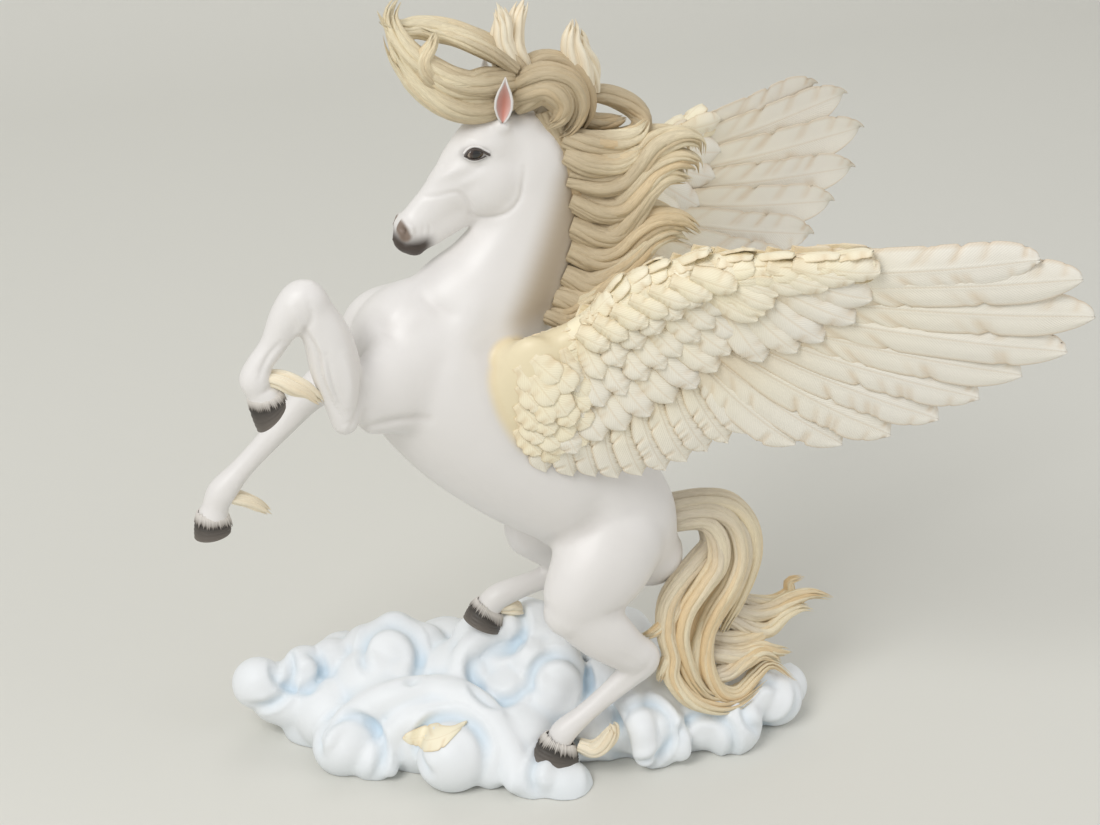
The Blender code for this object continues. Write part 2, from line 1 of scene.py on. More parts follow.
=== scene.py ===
"""Looks of a rearing winged horse figurine, dressed over its plain casting.

Places and sizes are in millimetres in the casting's own frame, and MM turns them into metres.
The horse faces -X, its near side faces -Y, and the cloud bank stands on the plane Z = 0.
"""

import json
import logging
import math
from dataclasses import dataclass, field
from enum import Enum
from functools import partial

import bmesh
import bpy
import numpy as np
from mathutils import Matrix, Vector
from mathutils.bvhtree import BVHTree

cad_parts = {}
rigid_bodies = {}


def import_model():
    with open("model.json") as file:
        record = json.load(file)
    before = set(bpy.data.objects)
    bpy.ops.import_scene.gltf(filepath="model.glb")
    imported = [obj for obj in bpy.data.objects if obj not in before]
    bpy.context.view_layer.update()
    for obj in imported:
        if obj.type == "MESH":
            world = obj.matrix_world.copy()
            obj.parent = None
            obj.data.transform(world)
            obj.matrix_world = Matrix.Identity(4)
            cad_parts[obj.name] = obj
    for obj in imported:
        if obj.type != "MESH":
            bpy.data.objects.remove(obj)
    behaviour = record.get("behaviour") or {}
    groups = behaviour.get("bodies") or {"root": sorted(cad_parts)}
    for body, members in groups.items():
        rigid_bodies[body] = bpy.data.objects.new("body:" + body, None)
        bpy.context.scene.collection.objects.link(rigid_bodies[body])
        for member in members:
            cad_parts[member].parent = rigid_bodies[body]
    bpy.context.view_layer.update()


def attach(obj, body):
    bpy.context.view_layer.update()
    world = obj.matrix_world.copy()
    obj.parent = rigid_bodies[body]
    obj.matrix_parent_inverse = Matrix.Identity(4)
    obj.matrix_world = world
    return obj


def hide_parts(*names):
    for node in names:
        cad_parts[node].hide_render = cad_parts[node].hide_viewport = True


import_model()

Place = tuple[float, float, float]
Spot = tuple[float, float]
Colour = tuple[float, float, float, float]
Shape = bpy.types.Object
Mesh = bpy.types.Mesh
Material = bpy.types.Material
Node = bpy.types.Node
NodeTree = bpy.types.NodeTree
Socket = bpy.types.NodeSocket

MM = 0.001
BODY = "root"
CASTING = "pegasus_figurine"
LOG = logging.getLogger("figurine")


class Side(Enum):
    """Side of the horse: the near one is its left."""

    NEAR = -1
    FAR = 1


class Pattern(Enum):
    """Fine relief that a finish carries besides its paint."""

    PLAIN = "plain"
    STRANDS = "strands"
    BARBS = "barbs"


def paint(red: int, green: int, blue: int) -> Colour:
    """Paint colour from its screen values.

    Args:
        red, green, blue: levels from 0 to 255.

    Returns:
        The colour in linear light, with full alpha.
    """
    levels = [value / 255 for value in (red, green, blue)]
    light = [v / 12.92 if v <= 0.04045 else ((v + 0.055) / 1.055) ** 2.4 for v in levels]
    return (*light, 1.0)


WHITE = paint(229, 226, 223)
BEIGE = paint(170, 152, 124)
GREY_CREASE_SHADE = paint(190, 184, 178)
# Grey painted shade for the creases of the coat.
MUZZLE_BROWN = paint(70, 60, 54)
NOSTRIL_BROWN = paint(118, 98, 82)
LID_BROWN = paint(52, 38, 30)
EAR_PINK = paint(212, 138, 120)
HOOF_GREY = paint(88, 82, 76)
HOOF_DARK = paint(52, 48, 44)
CLOUD_WHITE = paint(236, 239, 241)
# Blue painted shade for the clouds' hollows and swirl grooves.
CLOUD_BLUE_SHADE = paint(190, 212, 227)
CREAM = paint(248, 238, 207)
PAD_CREAM = paint(234, 220, 184)
FEATHER_WHITE = paint(238, 234, 224)
# Tan painted shade for the creases and grooves of the wings, the cream wing root and the cream tufts.
TAN_SHADE = paint(206, 170, 118)
HAIR_GREY = paint(208, 192, 161)
# Dark of the hair's streaks, also used for painted shade in the valleys of its strands.
HAIR_DARK = paint(160, 138, 104)
HAIR_CREAM = paint(255, 243, 210)
HAIR_ORANGE = paint(236, 196, 134)


def spline(knots: np.ndarray, per_span: int) -> np.ndarray:
    """Points of a Catmull-Rom curve through rows of knots.

    Args:
        knots: one row for each knot.
        per_span: points from one knot to the next.

    Returns:
        The curve's points, one row each.
    """
    knots = np.asarray(knots, float)
    rows = np.vstack([2 * knots[0] - knots[1], knots, 2 * knots[-1] - knots[-2]])
    steps = (np.arange(per_span) / per_span)[:, None]
    spans = []
    for before, start, end, after in zip(rows, rows[1:], rows[2:], rows[3:]):
        bend = 2 * before - 5 * start + 4 * end - after
        twist = 3 * start - before - 3 * end + after
        spans.append(start + 0.5 * ((end - before) * steps + bend * steps ** 2 + twist * steps ** 3))
    return np.vstack([*spans, knots[-1:]])


def along(line: np.ndarray, count: int) -> np.ndarray:
    """Evenly spaced points along a smooth line through a few places.

    Args:
        line: the places that the line passes through.
        count: how many points to give.

    Returns:
        The points, one row each.
    """
    curve = spline(line, 16) if len(line) > 1 else np.repeat(np.asarray(line, float), 2, axis=0)
    reach = np.concatenate([[0], np.cumsum(np.linalg.norm(np.diff(curve, axis=0), axis=1))])
    wanted = np.linspace(0, reach[-1], count)
    return np.stack([np.interp(wanted, reach, curve[:, axis]) for axis in range(curve.shape[1])], axis=1)


def ease(values: np.ndarray, low: float, high: float) -> np.ndarray:
    """Smooth step from 0 at low to 1 at high."""
    share = np.clip((values - low) / (high - low), 0, 1)
    return share * share * (3 - 2 * share)


def frames_of(points: np.ndarray) -> tuple[np.ndarray, np.ndarray, np.ndarray]:
    """Directions along, across the body and up at each point of a route.

    Args:
        points: places along the route.

    Returns:
        Three arrays of unit vectors.
    """
    runs = np.gradient(points, axis=0)
    runs /= np.linalg.norm(runs, axis=1, keepdims=True)
    sideways = np.array((0.0, 1.0, 0.0)) - runs * runs[:, 1:2]
    sideways /= np.linalg.norm(sideways, axis=1, keepdims=True)
    return runs, sideways, np.cross(runs, sideways)


def read(items: bpy.types.bpy_prop_collection, name: str, width: int, kind: type = float) -> np.ndarray:
    """Values of one property of every item, as rows of the given width."""
    values = np.empty(len(items) * width, kind)
    items.foreach_get(name, values)
    return values.reshape(-1, width)


def store(data: Mesh, name: str, values: np.ndarray) -> None:
    """Keep one number for each point of the mesh under a name that its finish reads."""
    attribute = data.attributes.get(name) or data.attributes.new(name, "FLOAT", "POINT")
    attribute.data.foreach_set("value", np.asarray(values, np.float32))


def kept(data: Mesh, name: str) -> np.ndarray:
    """Numbers that the mesh keeps under a name, one for each point."""
    return read(data.attributes[name].data, "value", 1)[:, 0]


def mesh_of(form: bmesh.types.BMesh, name: str, scale: float = MM) -> Mesh:
    """Mesh of a form, which is used up.

    Args:
        form: the form.
        name: the mesh's name.
        scale: what the form's sizes are multiplied by.

    Returns:
        The mesh.
    """
    bmesh.ops.transform(form, matrix=Matrix.Scale(scale, 4), verts=form.verts)
    data = bpy.data.meshes.new(name)
    form.to_mesh(data)
    form.free()
    return data


def new_shape(name: str, data: Mesh) -> Shape:
    """Object with the mesh, linked to the scene at the origin."""
    shape = bpy.data.objects.new(name, data)
    bpy.context.scene.collection.objects.link(shape)
    return shape


def settle_modifiers(shape: Shape) -> None:
    """Give the object the plain mesh that its modifiers make, and remove them."""
    graph = bpy.context.evaluated_depsgraph_get()
    graph.update()
    result = bpy.data.meshes.new_from_object(shape.evaluated_get(graph))
    shape.modifiers.clear()
    shape.data = result


def run_tree(shape: Shape, tree: NodeTree, values: dict[str, object]) -> None:
    """Turn the object's mesh into what the geometry tree makes of it.

    Args:
        shape: the object whose mesh goes in, and which gets the result.
        tree: the geometry tree.
        values: the tree's inputs by name.
    """
    modifier = shape.modifiers.new(tree.name, "NODES")
    modifier.node_group = tree
    for item in tree.interface.items_tree:
        if item.item_type == "SOCKET" and item.in_out == "INPUT" and item.name in values:
            modifier[item.identifier] = values[item.name]
    settle_modifiers(shape)


def turn_outward(data: Mesh) -> None:
    """Merge doubled points and turn every face to the outside."""
    mesh = bmesh.new()
    mesh.from_mesh(data)
    bmesh.ops.remove_doubles(mesh, verts=mesh.verts, dist=0.00001)
    bmesh.ops.recalc_face_normals(mesh, faces=mesh.faces)
    mesh.to_mesh(data)
    mesh.free()


def hand_over(shape: Shape, material: Material) -> Shape:
    """Dress a finished piece and let it stand for the casting.

    Args:
        shape: the piece, with its place in its mesh.
        material: its finish.

    Returns:
        The same piece.
    """
    shape.data.materials.clear()
    shape.data.materials.append(material)
    shape.data.shade_smooth()
    shape.data.name = shape.name
    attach(shape, BODY)
    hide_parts(CASTING)
    triangles = sum(len(face.vertices) - 2 for face in shape.data.polygons)
    LOG.info("%s: %d triangles, finish %s", shape.name, triangles, material.name)
    return shape


class Clay:
    """Loose closed forms in millimetres that are pressed together into one skin."""

    def __init__(self) -> None:
        """Start with no forms."""
        self.mesh = bmesh.new()

    def loft(self, rows: np.ndarray, sides: int = 36, per_span: int = 8) -> None:
        """Add a body with rounded ends.

        Args:
            rows: x, y, z, half width across the body and half width in its plane.
            sides: points around each section.
            per_span: sections from one row to the next.
        """
        rows = spline(rows, per_span) if per_span > 1 else np.asarray(rows, float)
        centres, across, within = rows[:, :3], rows[:, 3], rows[:, 4]
        runs, sideways, upward = frames_of(centres)
        stations = [(0, -math.radians(angle)) for angle in (85, 70, 50, 25)]
        stations += [(index, 0.0) for index in range(len(rows))]
        stations += [(len(rows) - 1, math.radians(angle)) for angle in (25, 50, 70, 85)]
        turns = np.linspace(0, 2 * math.pi, sides, endpoint=False)
        rings = []
        for index, cap in stations:
            centre = centres[index] + runs[index] * math.sin(cap) * min(across[index], within[index])
            spread = np.outer(np.cos(turns) * across[index], sideways[index])
            spread += np.outer(np.sin(turns) * within[index], upward[index])
            rings.append([self.mesh.verts.new(centre + offset * math.cos(cap)) for offset in spread])
        self.join(rings)

    def join(self, rings: list[list[bmesh.types.BMVert]]) -> None:
        """Lay faces from each ring of points to the next and close both ends."""
        for ring, following in zip(rings, rings[1:]):
            for side, corner in enumerate(ring):
                after = (side + 1) % len(ring)
                self.mesh.faces.new((corner, ring[after], following[after], following[side]))
        self.mesh.faces.new(reversed(rings[0]))
        self.mesh.faces.new(rings[-1])

    def ball(self, centre: Place, radii: Place, tilt: float = 0.0, turn: Matrix | None = None) -> None:
        """Add an ellipsoid whose first axis rises by tilt degrees, or that lies as turn says."""
        turn = turn or Matrix.Rotation(-math.radians(tilt), 4, "Y")
        shape = Matrix.Translation(centre) @ turn @ Matrix.Diagonal((*radii, 1))
        turns = np.linspace(0, 2 * math.pi, 40, endpoint=False)
        rings = []
        for rise in np.radians(np.linspace(-87, 87, 24)):
            wide, high = math.cos(rise), math.sin(rise)
            rings.append([self.mesh.verts.new(shape @ Vector((wide * math.cos(angle), wide * math.sin(angle), high)))
                          for angle in turns])
        self.join(rings)

    def loose(self, name: str) -> Shape:
        """Object that holds the forms as they are."""
        return new_shape(name, mesh_of(self.mesh, name))

    def pressed(self, name: str, grain: float) -> Shape:
        """Object whose one skin wraps all the forms.

        Args:
            name: the object's name.
            grain: size of the skin's faces.

        Returns:
            The object.
        """
        shape = self.loose(name)
        modifier = shape.modifiers.new("Skin", "REMESH")
        modifier.mode = "VOXEL"
        modifier.voxel_size = grain * MM
        settle_modifiers(shape)
        return shape


@dataclass(frozen=True)
class Stroke:
    """Groove or ridge drawn along a line in the side view.

    Its route is in x and z. A positive depth cuts in and a negative one raises. It works where
    the skin faces sideways and lies within reach of the plane y = flank times the side.
    """

    route: tuple[Spot, ...]
    width: float
    depth: float
    sides: tuple[Side, ...] = (Side.NEAR,)
    flank: float = 12.0
    reach: float = 14.0


class Skin:
    """Points of one mesh in millimetres, while they are pushed about."""

    def __init__(self, data: Mesh) -> None:
        """Take the points and edges of the mesh."""
        self.data = data
        self.places = read(data.vertices, "co", 3) / MM
        self.first, self.second = read(data.edges, "vertices", 2, int).T
        count = len(self.places)
        self.valence = np.bincount(self.first, minlength=count) + np.bincount(self.second, minlength=count)

    def normals(self) -> np.ndarray:
        """Store the places and give the points' outward directions."""
        self.data.vertices.foreach_set("co", (self.places * MM).ravel())
        self.data.update()
        return read(self.data.vertices, "normal", 3)

    def around(self, values: np.ndarray) -> np.ndarray:
        """Mean of the values at each point's neighbours."""
        values = values.reshape(len(self.places), -1)
        total = np.stack([
            np.bincount(self.first, weights=column[self.second], minlength=len(column))
            + np.bincount(self.second, weights=column[self.first], minlength=len(column))
            for column in values.T], axis=1)
        return total / self.valence[:, None]

    def relax(self, rounds: int) -> None:
        """Smooth the whole skin a little."""
        for _ in range(rounds):
            self.places = 0.5 * (self.places + self.around(self.places))

    def fill_creases(self, rounds: int) -> None:
        """Round the hollows between joined forms, and leave the crests."""
        for _ in range(rounds):
            normals = self.normals()
            pull = self.around(self.places) - self.places
            self.places = self.places + normals * np.maximum((pull * normals).sum(axis=1), 0)[:, None]

    def hollows(self, rounds: int, depth: float) -> np.ndarray:
        """How far each point lies in a hollow.

        Args:
            rounds: how widely the skin is evened out to compare with.
            depth: depth that counts as 1.

        Returns:
            A number from 0 to 1 for each point.
        """
        normals = self.normals()
        even = self.places
        for _ in range(rounds):
            even = self.around(even)
        sunk = ((even - self.places) * normals).sum(axis=1) / depth
        for _ in range(3):
            sunk = self.around(sunk)[:, 0]
        return np.clip(sunk, 0, 1)

    def near_line(self, line: np.ndarray, columns: list[int]) -> tuple[np.ndarray, np.ndarray]:
        """Distance of every point to a line, and the share of the line where it is nearest.

        Args:
            line: places along the line.
            columns: the axes that count.

        Returns:
            The distances and the shares.
        """
        own = self.places[:, columns]
        distance = np.full(len(own), np.inf)
        share = np.zeros(len(own))
        for index, spot in enumerate(line):
            gap = np.linalg.norm(own - spot, axis=1)
            closer = gap < distance
            distance[closer] = gap[closer]
            share[closer] = index / max(len(line) - 1, 1)
        return distance, share

    def carve(self, stroke: Stroke) -> None:
        """Cut or raise the skin along a stroke."""
        normals = self.normals()
        line = along(stroke.route, 30)
        distance, share = self.near_line(line, [0, 2])
        ends = np.sin(math.pi * np.clip(share, 0.04, 0.96)) ** 0.5
        push = stroke.depth * np.exp(-(distance / stroke.width) ** 2) * ends
        for side in stroke.sides:
            facing = np.clip(normals[:, 1] * side.value * 1.8, 0, 1)
            close = np.abs(self.places[:, 1] - stroke.flank * side.value) < stroke.reach
            self.places = self.places - normals * (push * facing * close)[:, None]

    def keep(self, name: str, values: np.ndarray) -> None:
        """Store a number for each point, for the finish to read."""
        store(self.data, name, values)


class Tree:
    """Shorthand for adding and joining the nodes of one tree."""

    def __init__(self, tree: NodeTree) -> None:
        """Take the tree that the nodes go into."""
        self.tree = tree

    def add(self, kind: str, inputs: dict | None = None, **settings: object) -> Node:
        """Add a node.

        Args:
            kind: Blender's name of the node type.
            inputs: values or sockets by input name or number.
            settings: properties of the node.

        Returns:
            The node.
        """
        node = self.tree.nodes.new(kind)
        for name, value in settings.items():
            setattr(node, name, value)
        self.feed(node, inputs or {})
        return node

    def feed(self, node: Node, inputs: dict) -> NodeTree:
        """Set or link a node's inputs, and give the tree."""
        for key, value in inputs.items():
            if isinstance(value, Socket):
                self.tree.links.new(value, node.inputs[key])
            else:
                node.inputs[key].default_value = value
        return self.tree

    def maths(self, operation: str, *values: object) -> Socket:
        """Result of a Math node on one to three values."""
        return self.add("ShaderNodeMath", dict(enumerate(values)), operation=operation).outputs[0]

    def vector(self, operation: str, *values: object) -> Socket:
        """Result of a Vector Math node."""
        return self.add("ShaderNodeVectorMath", dict(enumerate(values)), operation=operation).outputs[0]

    def scaled(self, vector: Socket, factor: object) -> Socket:
        """Vector times a number."""
        return self.add("ShaderNodeVectorMath", {0: vector, "Scale": factor}, operation="SCALE").outputs[0]

    def blend(self, factor: object, base: object, top: object) -> Socket:
        """Colour that goes from base to top with the factor."""
        return self.add("ShaderNodeMix", {0: factor, 6: base, 7: top}, data_type="RGBA").outputs[2]

    def attribute(self, name: str, output: str = "Fac") -> Socket:
        """Stored value of a piece, read by a finish."""
        return self.add("ShaderNodeAttribute", attribute_name=name).outputs[output]

    def stored(self, name: str, kind: str = "FLOAT") -> Socket:
        """Stored value of a piece, read by a geometry tree."""
        return self.add("GeometryNodeInputNamedAttribute", {"Name": name}, data_type=kind).outputs["Attribute"]

    def turned(self) -> Socket:
        """Turn that each point of a geometry tree keeps, as a rotation."""
        return self.add("FunctionNodeEulerToRotation", {"Euler": self.stored("turn", "FLOAT_VECTOR")}).outputs[0]

    def dress(self, geometry: Socket, given: Node, out: Node) -> NodeTree:
        """End a geometry tree: make what it planted real and set the finish.

        Args:
            geometry: what the tree has made.
            given: the tree's input node.
            out: the tree's output node.

        Returns:
            The tree.
        """
        real = self.add("GeometryNodeRealizeInstances", {"Geometry": geometry})
        dressed = self.add("GeometryNodeSetMaterial", {
            "Geometry": real.outputs[0], "Material": given.outputs["Finish"]})
        return self.feed(out, {0: dressed.outputs[0]})


def group_tree(
    name: str, kind: str, inputs: tuple[tuple[str, str, object], ...], outputs: tuple[tuple[str, str], ...],
) -> tuple[Tree, Node, Node]:
    """Empty node group with named sockets.

    Args:
        name: the group's name.
        kind: ShaderNodeTree or GeometryNodeTree.
        inputs: name, socket type and default of each input.
        outputs: name and socket type of each output.

    Returns:
        The tree, its input node and its output node.
    """
    tree = bpy.data.node_groups.new(name, kind)
    for label, socket, default in inputs:
        item = tree.interface.new_socket(label, in_out="INPUT", socket_type=socket)
        if default is not None:
            item.default_value = default
    for label, socket in outputs:
        tree.interface.new_socket(label, in_out="OUTPUT", socket_type=socket)
    made = Tree(tree)
    return made, made.add("NodeGroupInput"), made.add("NodeGroupOutput")


def geometry_tree(name: str, *inputs: tuple[str, str, object]) -> tuple[Tree, Node, Node]:
    """Geometry group that takes geometry and a finish besides its own inputs."""
    shape = ("Geometry", "NodeSocketGeometry")
    inputs = ((*shape, None), *inputs, ("Finish", "NodeSocketMaterial", None))
    return group_tree(name, "GeometryNodeTree", inputs, (shape,))


def mottle_group() -> NodeTree:
    """Group that varies a paint's value and gloss in soft patches, as a sprayed coat does."""
    tree, given, out = group_tree("brushed_mottle", "ShaderNodeTree", (
        ("Colour", "NodeSocketColor", WHITE), ("Amount", "NodeSocketFloat", 0.04),
        ("Patch", "NodeSocketFloat", 70.0), ("Gloss", "NodeSocketFloat", 0.45),
    ), (("Colour", "NodeSocketColor"), ("Roughness", "NodeSocketFloat"), ("Height", "NodeSocketFloat")))
    place = tree.add("ShaderNodeTexCoord").outputs["Object"]
    patch = tree.add("ShaderNodeTexNoise", {
        "Vector": place, "Scale": given.outputs["Patch"], "Detail": 3.0}).outputs[0]
    fine = tree.add("ShaderNodeTexNoise", {"Vector": place, "Scale": 1400.0, "Detail": 2.0}).outputs[0]
    swing = tree.maths("SUBTRACT", patch, 0.5)
    gain = tree.maths("ADD", 1.0, tree.maths("MULTIPLY", swing, given.outputs["Amount"]))
    tint = tree.scaled(given.outputs["Colour"], gain)
    rough = tree.maths("ADD", given.outputs["Gloss"], tree.maths("MULTIPLY", swing, 0.16))
    return tree.feed(out, {"Colour": tint, "Roughness": rough, "Height": fine})


def strand_group() -> NodeTree:
    """Group that draws fine hair lines along a strand."""
    tree, given, out = group_tree("hair_lines", "ShaderNodeTree", (
        ("Swing", "NodeSocketVector", (0.0, 0.0, 0.0)), ("Along", "NodeSocketFloat", 0.0),
        ("Fineness", "NodeSocketFloat", 6.5),
    ), (("Shade", "NodeSocketFloat"), ("Height", "NodeSocketFloat")))
    spread = tree.scaled(given.outputs["Swing"], given.outputs["Fineness"])
    run = tree.add("ShaderNodeCombineXYZ", {"Z": tree.maths("MULTIPLY", given.outputs["Along"], 2.4)}).outputs[0]
    lines = tree.add("ShaderNodeTexNoise", {
        "Vector": tree.vector("ADD", spread, run), "Scale": 1.6, "Detail": 3.0, "Roughness": 0.6}).outputs[0]
    sharp = tree.add("ShaderNodeMapRange", {0: lines, 1: 0.34, 2: 0.64}).outputs[0]
    return tree.feed(out, {"Shade": sharp, "Height": lines})


def barb_group() -> NodeTree:
    """Group that draws fine slanting barbs on both sides of a feather's shaft."""
    tree, given, out = group_tree("feather_barbs", "ShaderNodeTree", (
        ("Along", "NodeSocketFloat", 0.0), ("Across", "NodeSocketFloat", 0.0),
        ("Pitch", "NodeSocketFloat", 0.9),
    ), (("Shade", "NodeSocketFloat"), ("Height", "NodeSocketFloat")))
    away = tree.maths("ABSOLUTE", given.outputs["Across"])
    slant = tree.maths("SUBTRACT", given.outputs["Along"], tree.maths("MULTIPLY", away, 1.3))
    turns = tree.maths("DIVIDE", tree.maths("MULTIPLY", slant, 2 * math.pi), given.outputs["Pitch"])
    wave = tree.maths("MULTIPLY_ADD", tree.maths("SINE", turns), 0.5, 0.5)
    return tree.feed(out, {"Shade": tree.maths("POWER", wave, 2.0), "Height": wave})


@dataclass(frozen=True)
class Layer:
    """Paint that goes on where a stored value says, up to its strength."""

    mask: str
    colour: Colour
    strength: float = 1.0


@dataclass(frozen=True)
class Resin:
    """Hand-painted satin resin: a base colour, layers of paint over it, some of them painted shade, and a fine relief.
    """

    name: str
    base: Colour
    layers: tuple[Layer, ...] = ()
    mottle: float = 0.08
    patch: float = 60.0
    roughness: float = 0.5
    grain: float = 0.012
    pattern: Pattern = Pattern.PLAIN
    line_depth: float = 0.12
    line_colour: Colour = HAIR_DARK
    line_strength: float = 0.5
    gloss: float = 0.0

    def material(self, groups: dict[str, NodeTree]) -> Material:
        """Build the finish.

        Args:
            groups: the shared effects by name.

        Returns:
            The material.
        """
        material = bpy.data.materials.new(self.name)
        material.use_nodes = True
        tree = Tree(material.node_tree)
        shader = material.node_tree.nodes["Principled BSDF"]
        colour: object = self.base
        for layer in self.layers:
            mask = tree.maths("MULTIPLY", tree.attribute(layer.mask), layer.strength)
            colour = tree.blend(mask, colour, layer.colour)
        height: Socket | None = None
        if self.pattern is not Pattern.PLAIN:
            shade, height = self.relief(tree, groups)
            colour = tree.blend(tree.maths("MULTIPLY", shade, self.line_strength), colour, self.line_colour)
        mottle = tree.add("ShaderNodeGroup", {
            "Colour": colour, "Amount": self.mottle, "Patch": self.patch, "Gloss": self.roughness,
        }, node_tree=groups["mottle"])
        total = tree.maths("MULTIPLY", mottle.outputs["Height"], self.grain)
        if height is not None:
            total = tree.maths("ADD", total, tree.maths("MULTIPLY", height, self.line_depth))
        bump = tree.add("ShaderNodeBump", {"Height": total, "Distance": MM, "Strength": 1.0})
        tree.feed(shader, {
            "Base Color": mottle.outputs["Colour"], "Roughness": mottle.outputs["Roughness"],
            "Normal": bump.outputs["Normal"], "Metallic": 0.0, "Coat Weight": self.gloss, "Coat Roughness": 0.08})
        return material

    def relief(self, tree: Tree, groups: dict[str, NodeTree]) -> tuple[Socket, Socket]:
        """Shade and height of the finish's own pattern.

        Args:
            tree: the material's nodes.
            groups: the shared effects by name.

        Returns:
            The shade socket and the height socket.
        """
        if self.pattern is Pattern.STRANDS:
            group, own = groups["strands"], {"Swing": tree.attribute("swing", "Vector")}
        else:
            group, own = groups["barbs"], {"Across": tree.attribute("offset"), "Pitch": 1.3}
        lines = tree.add("ShaderNodeGroup", {**own, "Along": tree.attribute("reach")}, node_tree=group)
        return lines.outputs["Shade"], lines.outputs["Height"]


# The coat's layers include painted shade: grey in the creases, tan in the hollows of the cream wing root, and dark
# brown around the eye.
COAT = Resin("satin_white_coat", WHITE, (
    Layer("beige", BEIGE, 0.75), Layer("fold", GREY_CREASE_SHADE, 0.6), Layer("cream", PAD_CREAM, 0.95),
    Layer("tan", TAN_SHADE, 0.2), Layer("muzzle", MUZZLE_BROWN),
    Layer("nostril", NOSTRIL_BROWN, 0.9), Layer("lid", LID_BROWN, 0.95), Layer("ear", EAR_PINK, 0.95),
), mottle=0.05, patch=45.0, roughness=0.42, grain=0.010)
EYE_GLASS = Resin("dark_eye_gloss", paint(176, 160, 146), (
    Layer("iris", paint(54, 36, 24)), Layer("pupil", paint(8, 6, 5)), Layer("rim", paint(60, 44, 36), 0.85)),
                  mottle=0.2, roughness=0.18, grain=0.0, gloss=1.0)
HORN = Resin("hoof_horn", HOOF_GREY, (Layer("band", HOOF_DARK, 0.9), Layer("toe", paint(122, 114, 106), 0.6)),
             mottle=0.35, patch=160.0, roughness=0.55, grain=0.03)
FRINGE = Resin("hoof_fringe_white", paint(214, 209, 202), (Layer("share", paint(104, 94, 84), 0.85),),
               roughness=0.5)
# Each hair finish's groove layer is painted shade in the valleys between the flutes of its strands.
MANE_PAINT = Resin("streaked_mane_paint", HAIR_GREY, (
    Layer("fade", HAIR_CREAM), Layer("warm", HAIR_ORANGE, 0.6), Layer("groove", HAIR_DARK, 0.12),
), mottle=0.14, patch=120.0, roughness=0.5, pattern=Pattern.STRANDS, line_depth=0.25, line_strength=0.3)
TAIL_PAINT = Resin("streaked_tail_paint", paint(226, 216, 196), (
    Layer("fade", HAIR_CREAM, 0.9), Layer("warm", HAIR_ORANGE, 0.7), Layer("groove", HAIR_DARK, 0.1),
), mottle=0.14, patch=120.0, roughness=0.5, pattern=Pattern.STRANDS, line_depth=0.25, line_strength=0.24)
TUFT_PAINT = Resin("cream_tuft_paint", paint(252, 244, 222), (
    Layer("warm", HAIR_ORANGE, 0.4), Layer("groove", TAN_SHADE, 0.3),
), roughness=0.5, pattern=Pattern.STRANDS, line_strength=0.12)
# Feathers carry painted shade: in the splits, along the shaft and at the edges, and at each root where the next
# feathers cover it.
FEATHER_PAINT = Resin("cream_feather_paint", FEATHER_WHITE, (
    Layer("cream", CREAM, 0.9), Layer("groove", TAN_SHADE, 0.42), Layer("tan", TAN_SHADE, 0.6),
), mottle=0.07, patch=90.0, roughness=0.5, pattern=Pattern.BARBS, line_depth=0.06,
    line_colour=paint(206, 188, 152), line_strength=0.10)
# Tan painted shade in the hollows of the leading edge.
ARM_PAINT = Resin("cream_wing_arm_paint", CREAM, (
    Layer("fold", TAN_SHADE, 0.7),
), mottle=0.09, patch=110.0, roughness=0.5, grain=0.05)
# Blue painted shade in the hollows and swirl grooves, and a greyer painted shade near the floor.
CLOUD_PAINT = Resin("cloud_white_and_blue", CLOUD_WHITE, (
    Layer("fold", CLOUD_BLUE_SHADE, 0.85), Layer("low", paint(222, 229, 233), 0.5),
), mottle=0.06, patch=40.0, roughness=0.55, grain=0.02)


@dataclass
class Leg:
    """One leg: its plane, its upper and lower forms, and front and back of coronet and sole."""

    plane: float
    upper: tuple[tuple[float, ...], ...]
    lower: tuple[tuple[float, ...], ...]
    coronet: tuple[Spot, Spot]
    sole: tuple[Spot, Spot]
    hoof_width: float


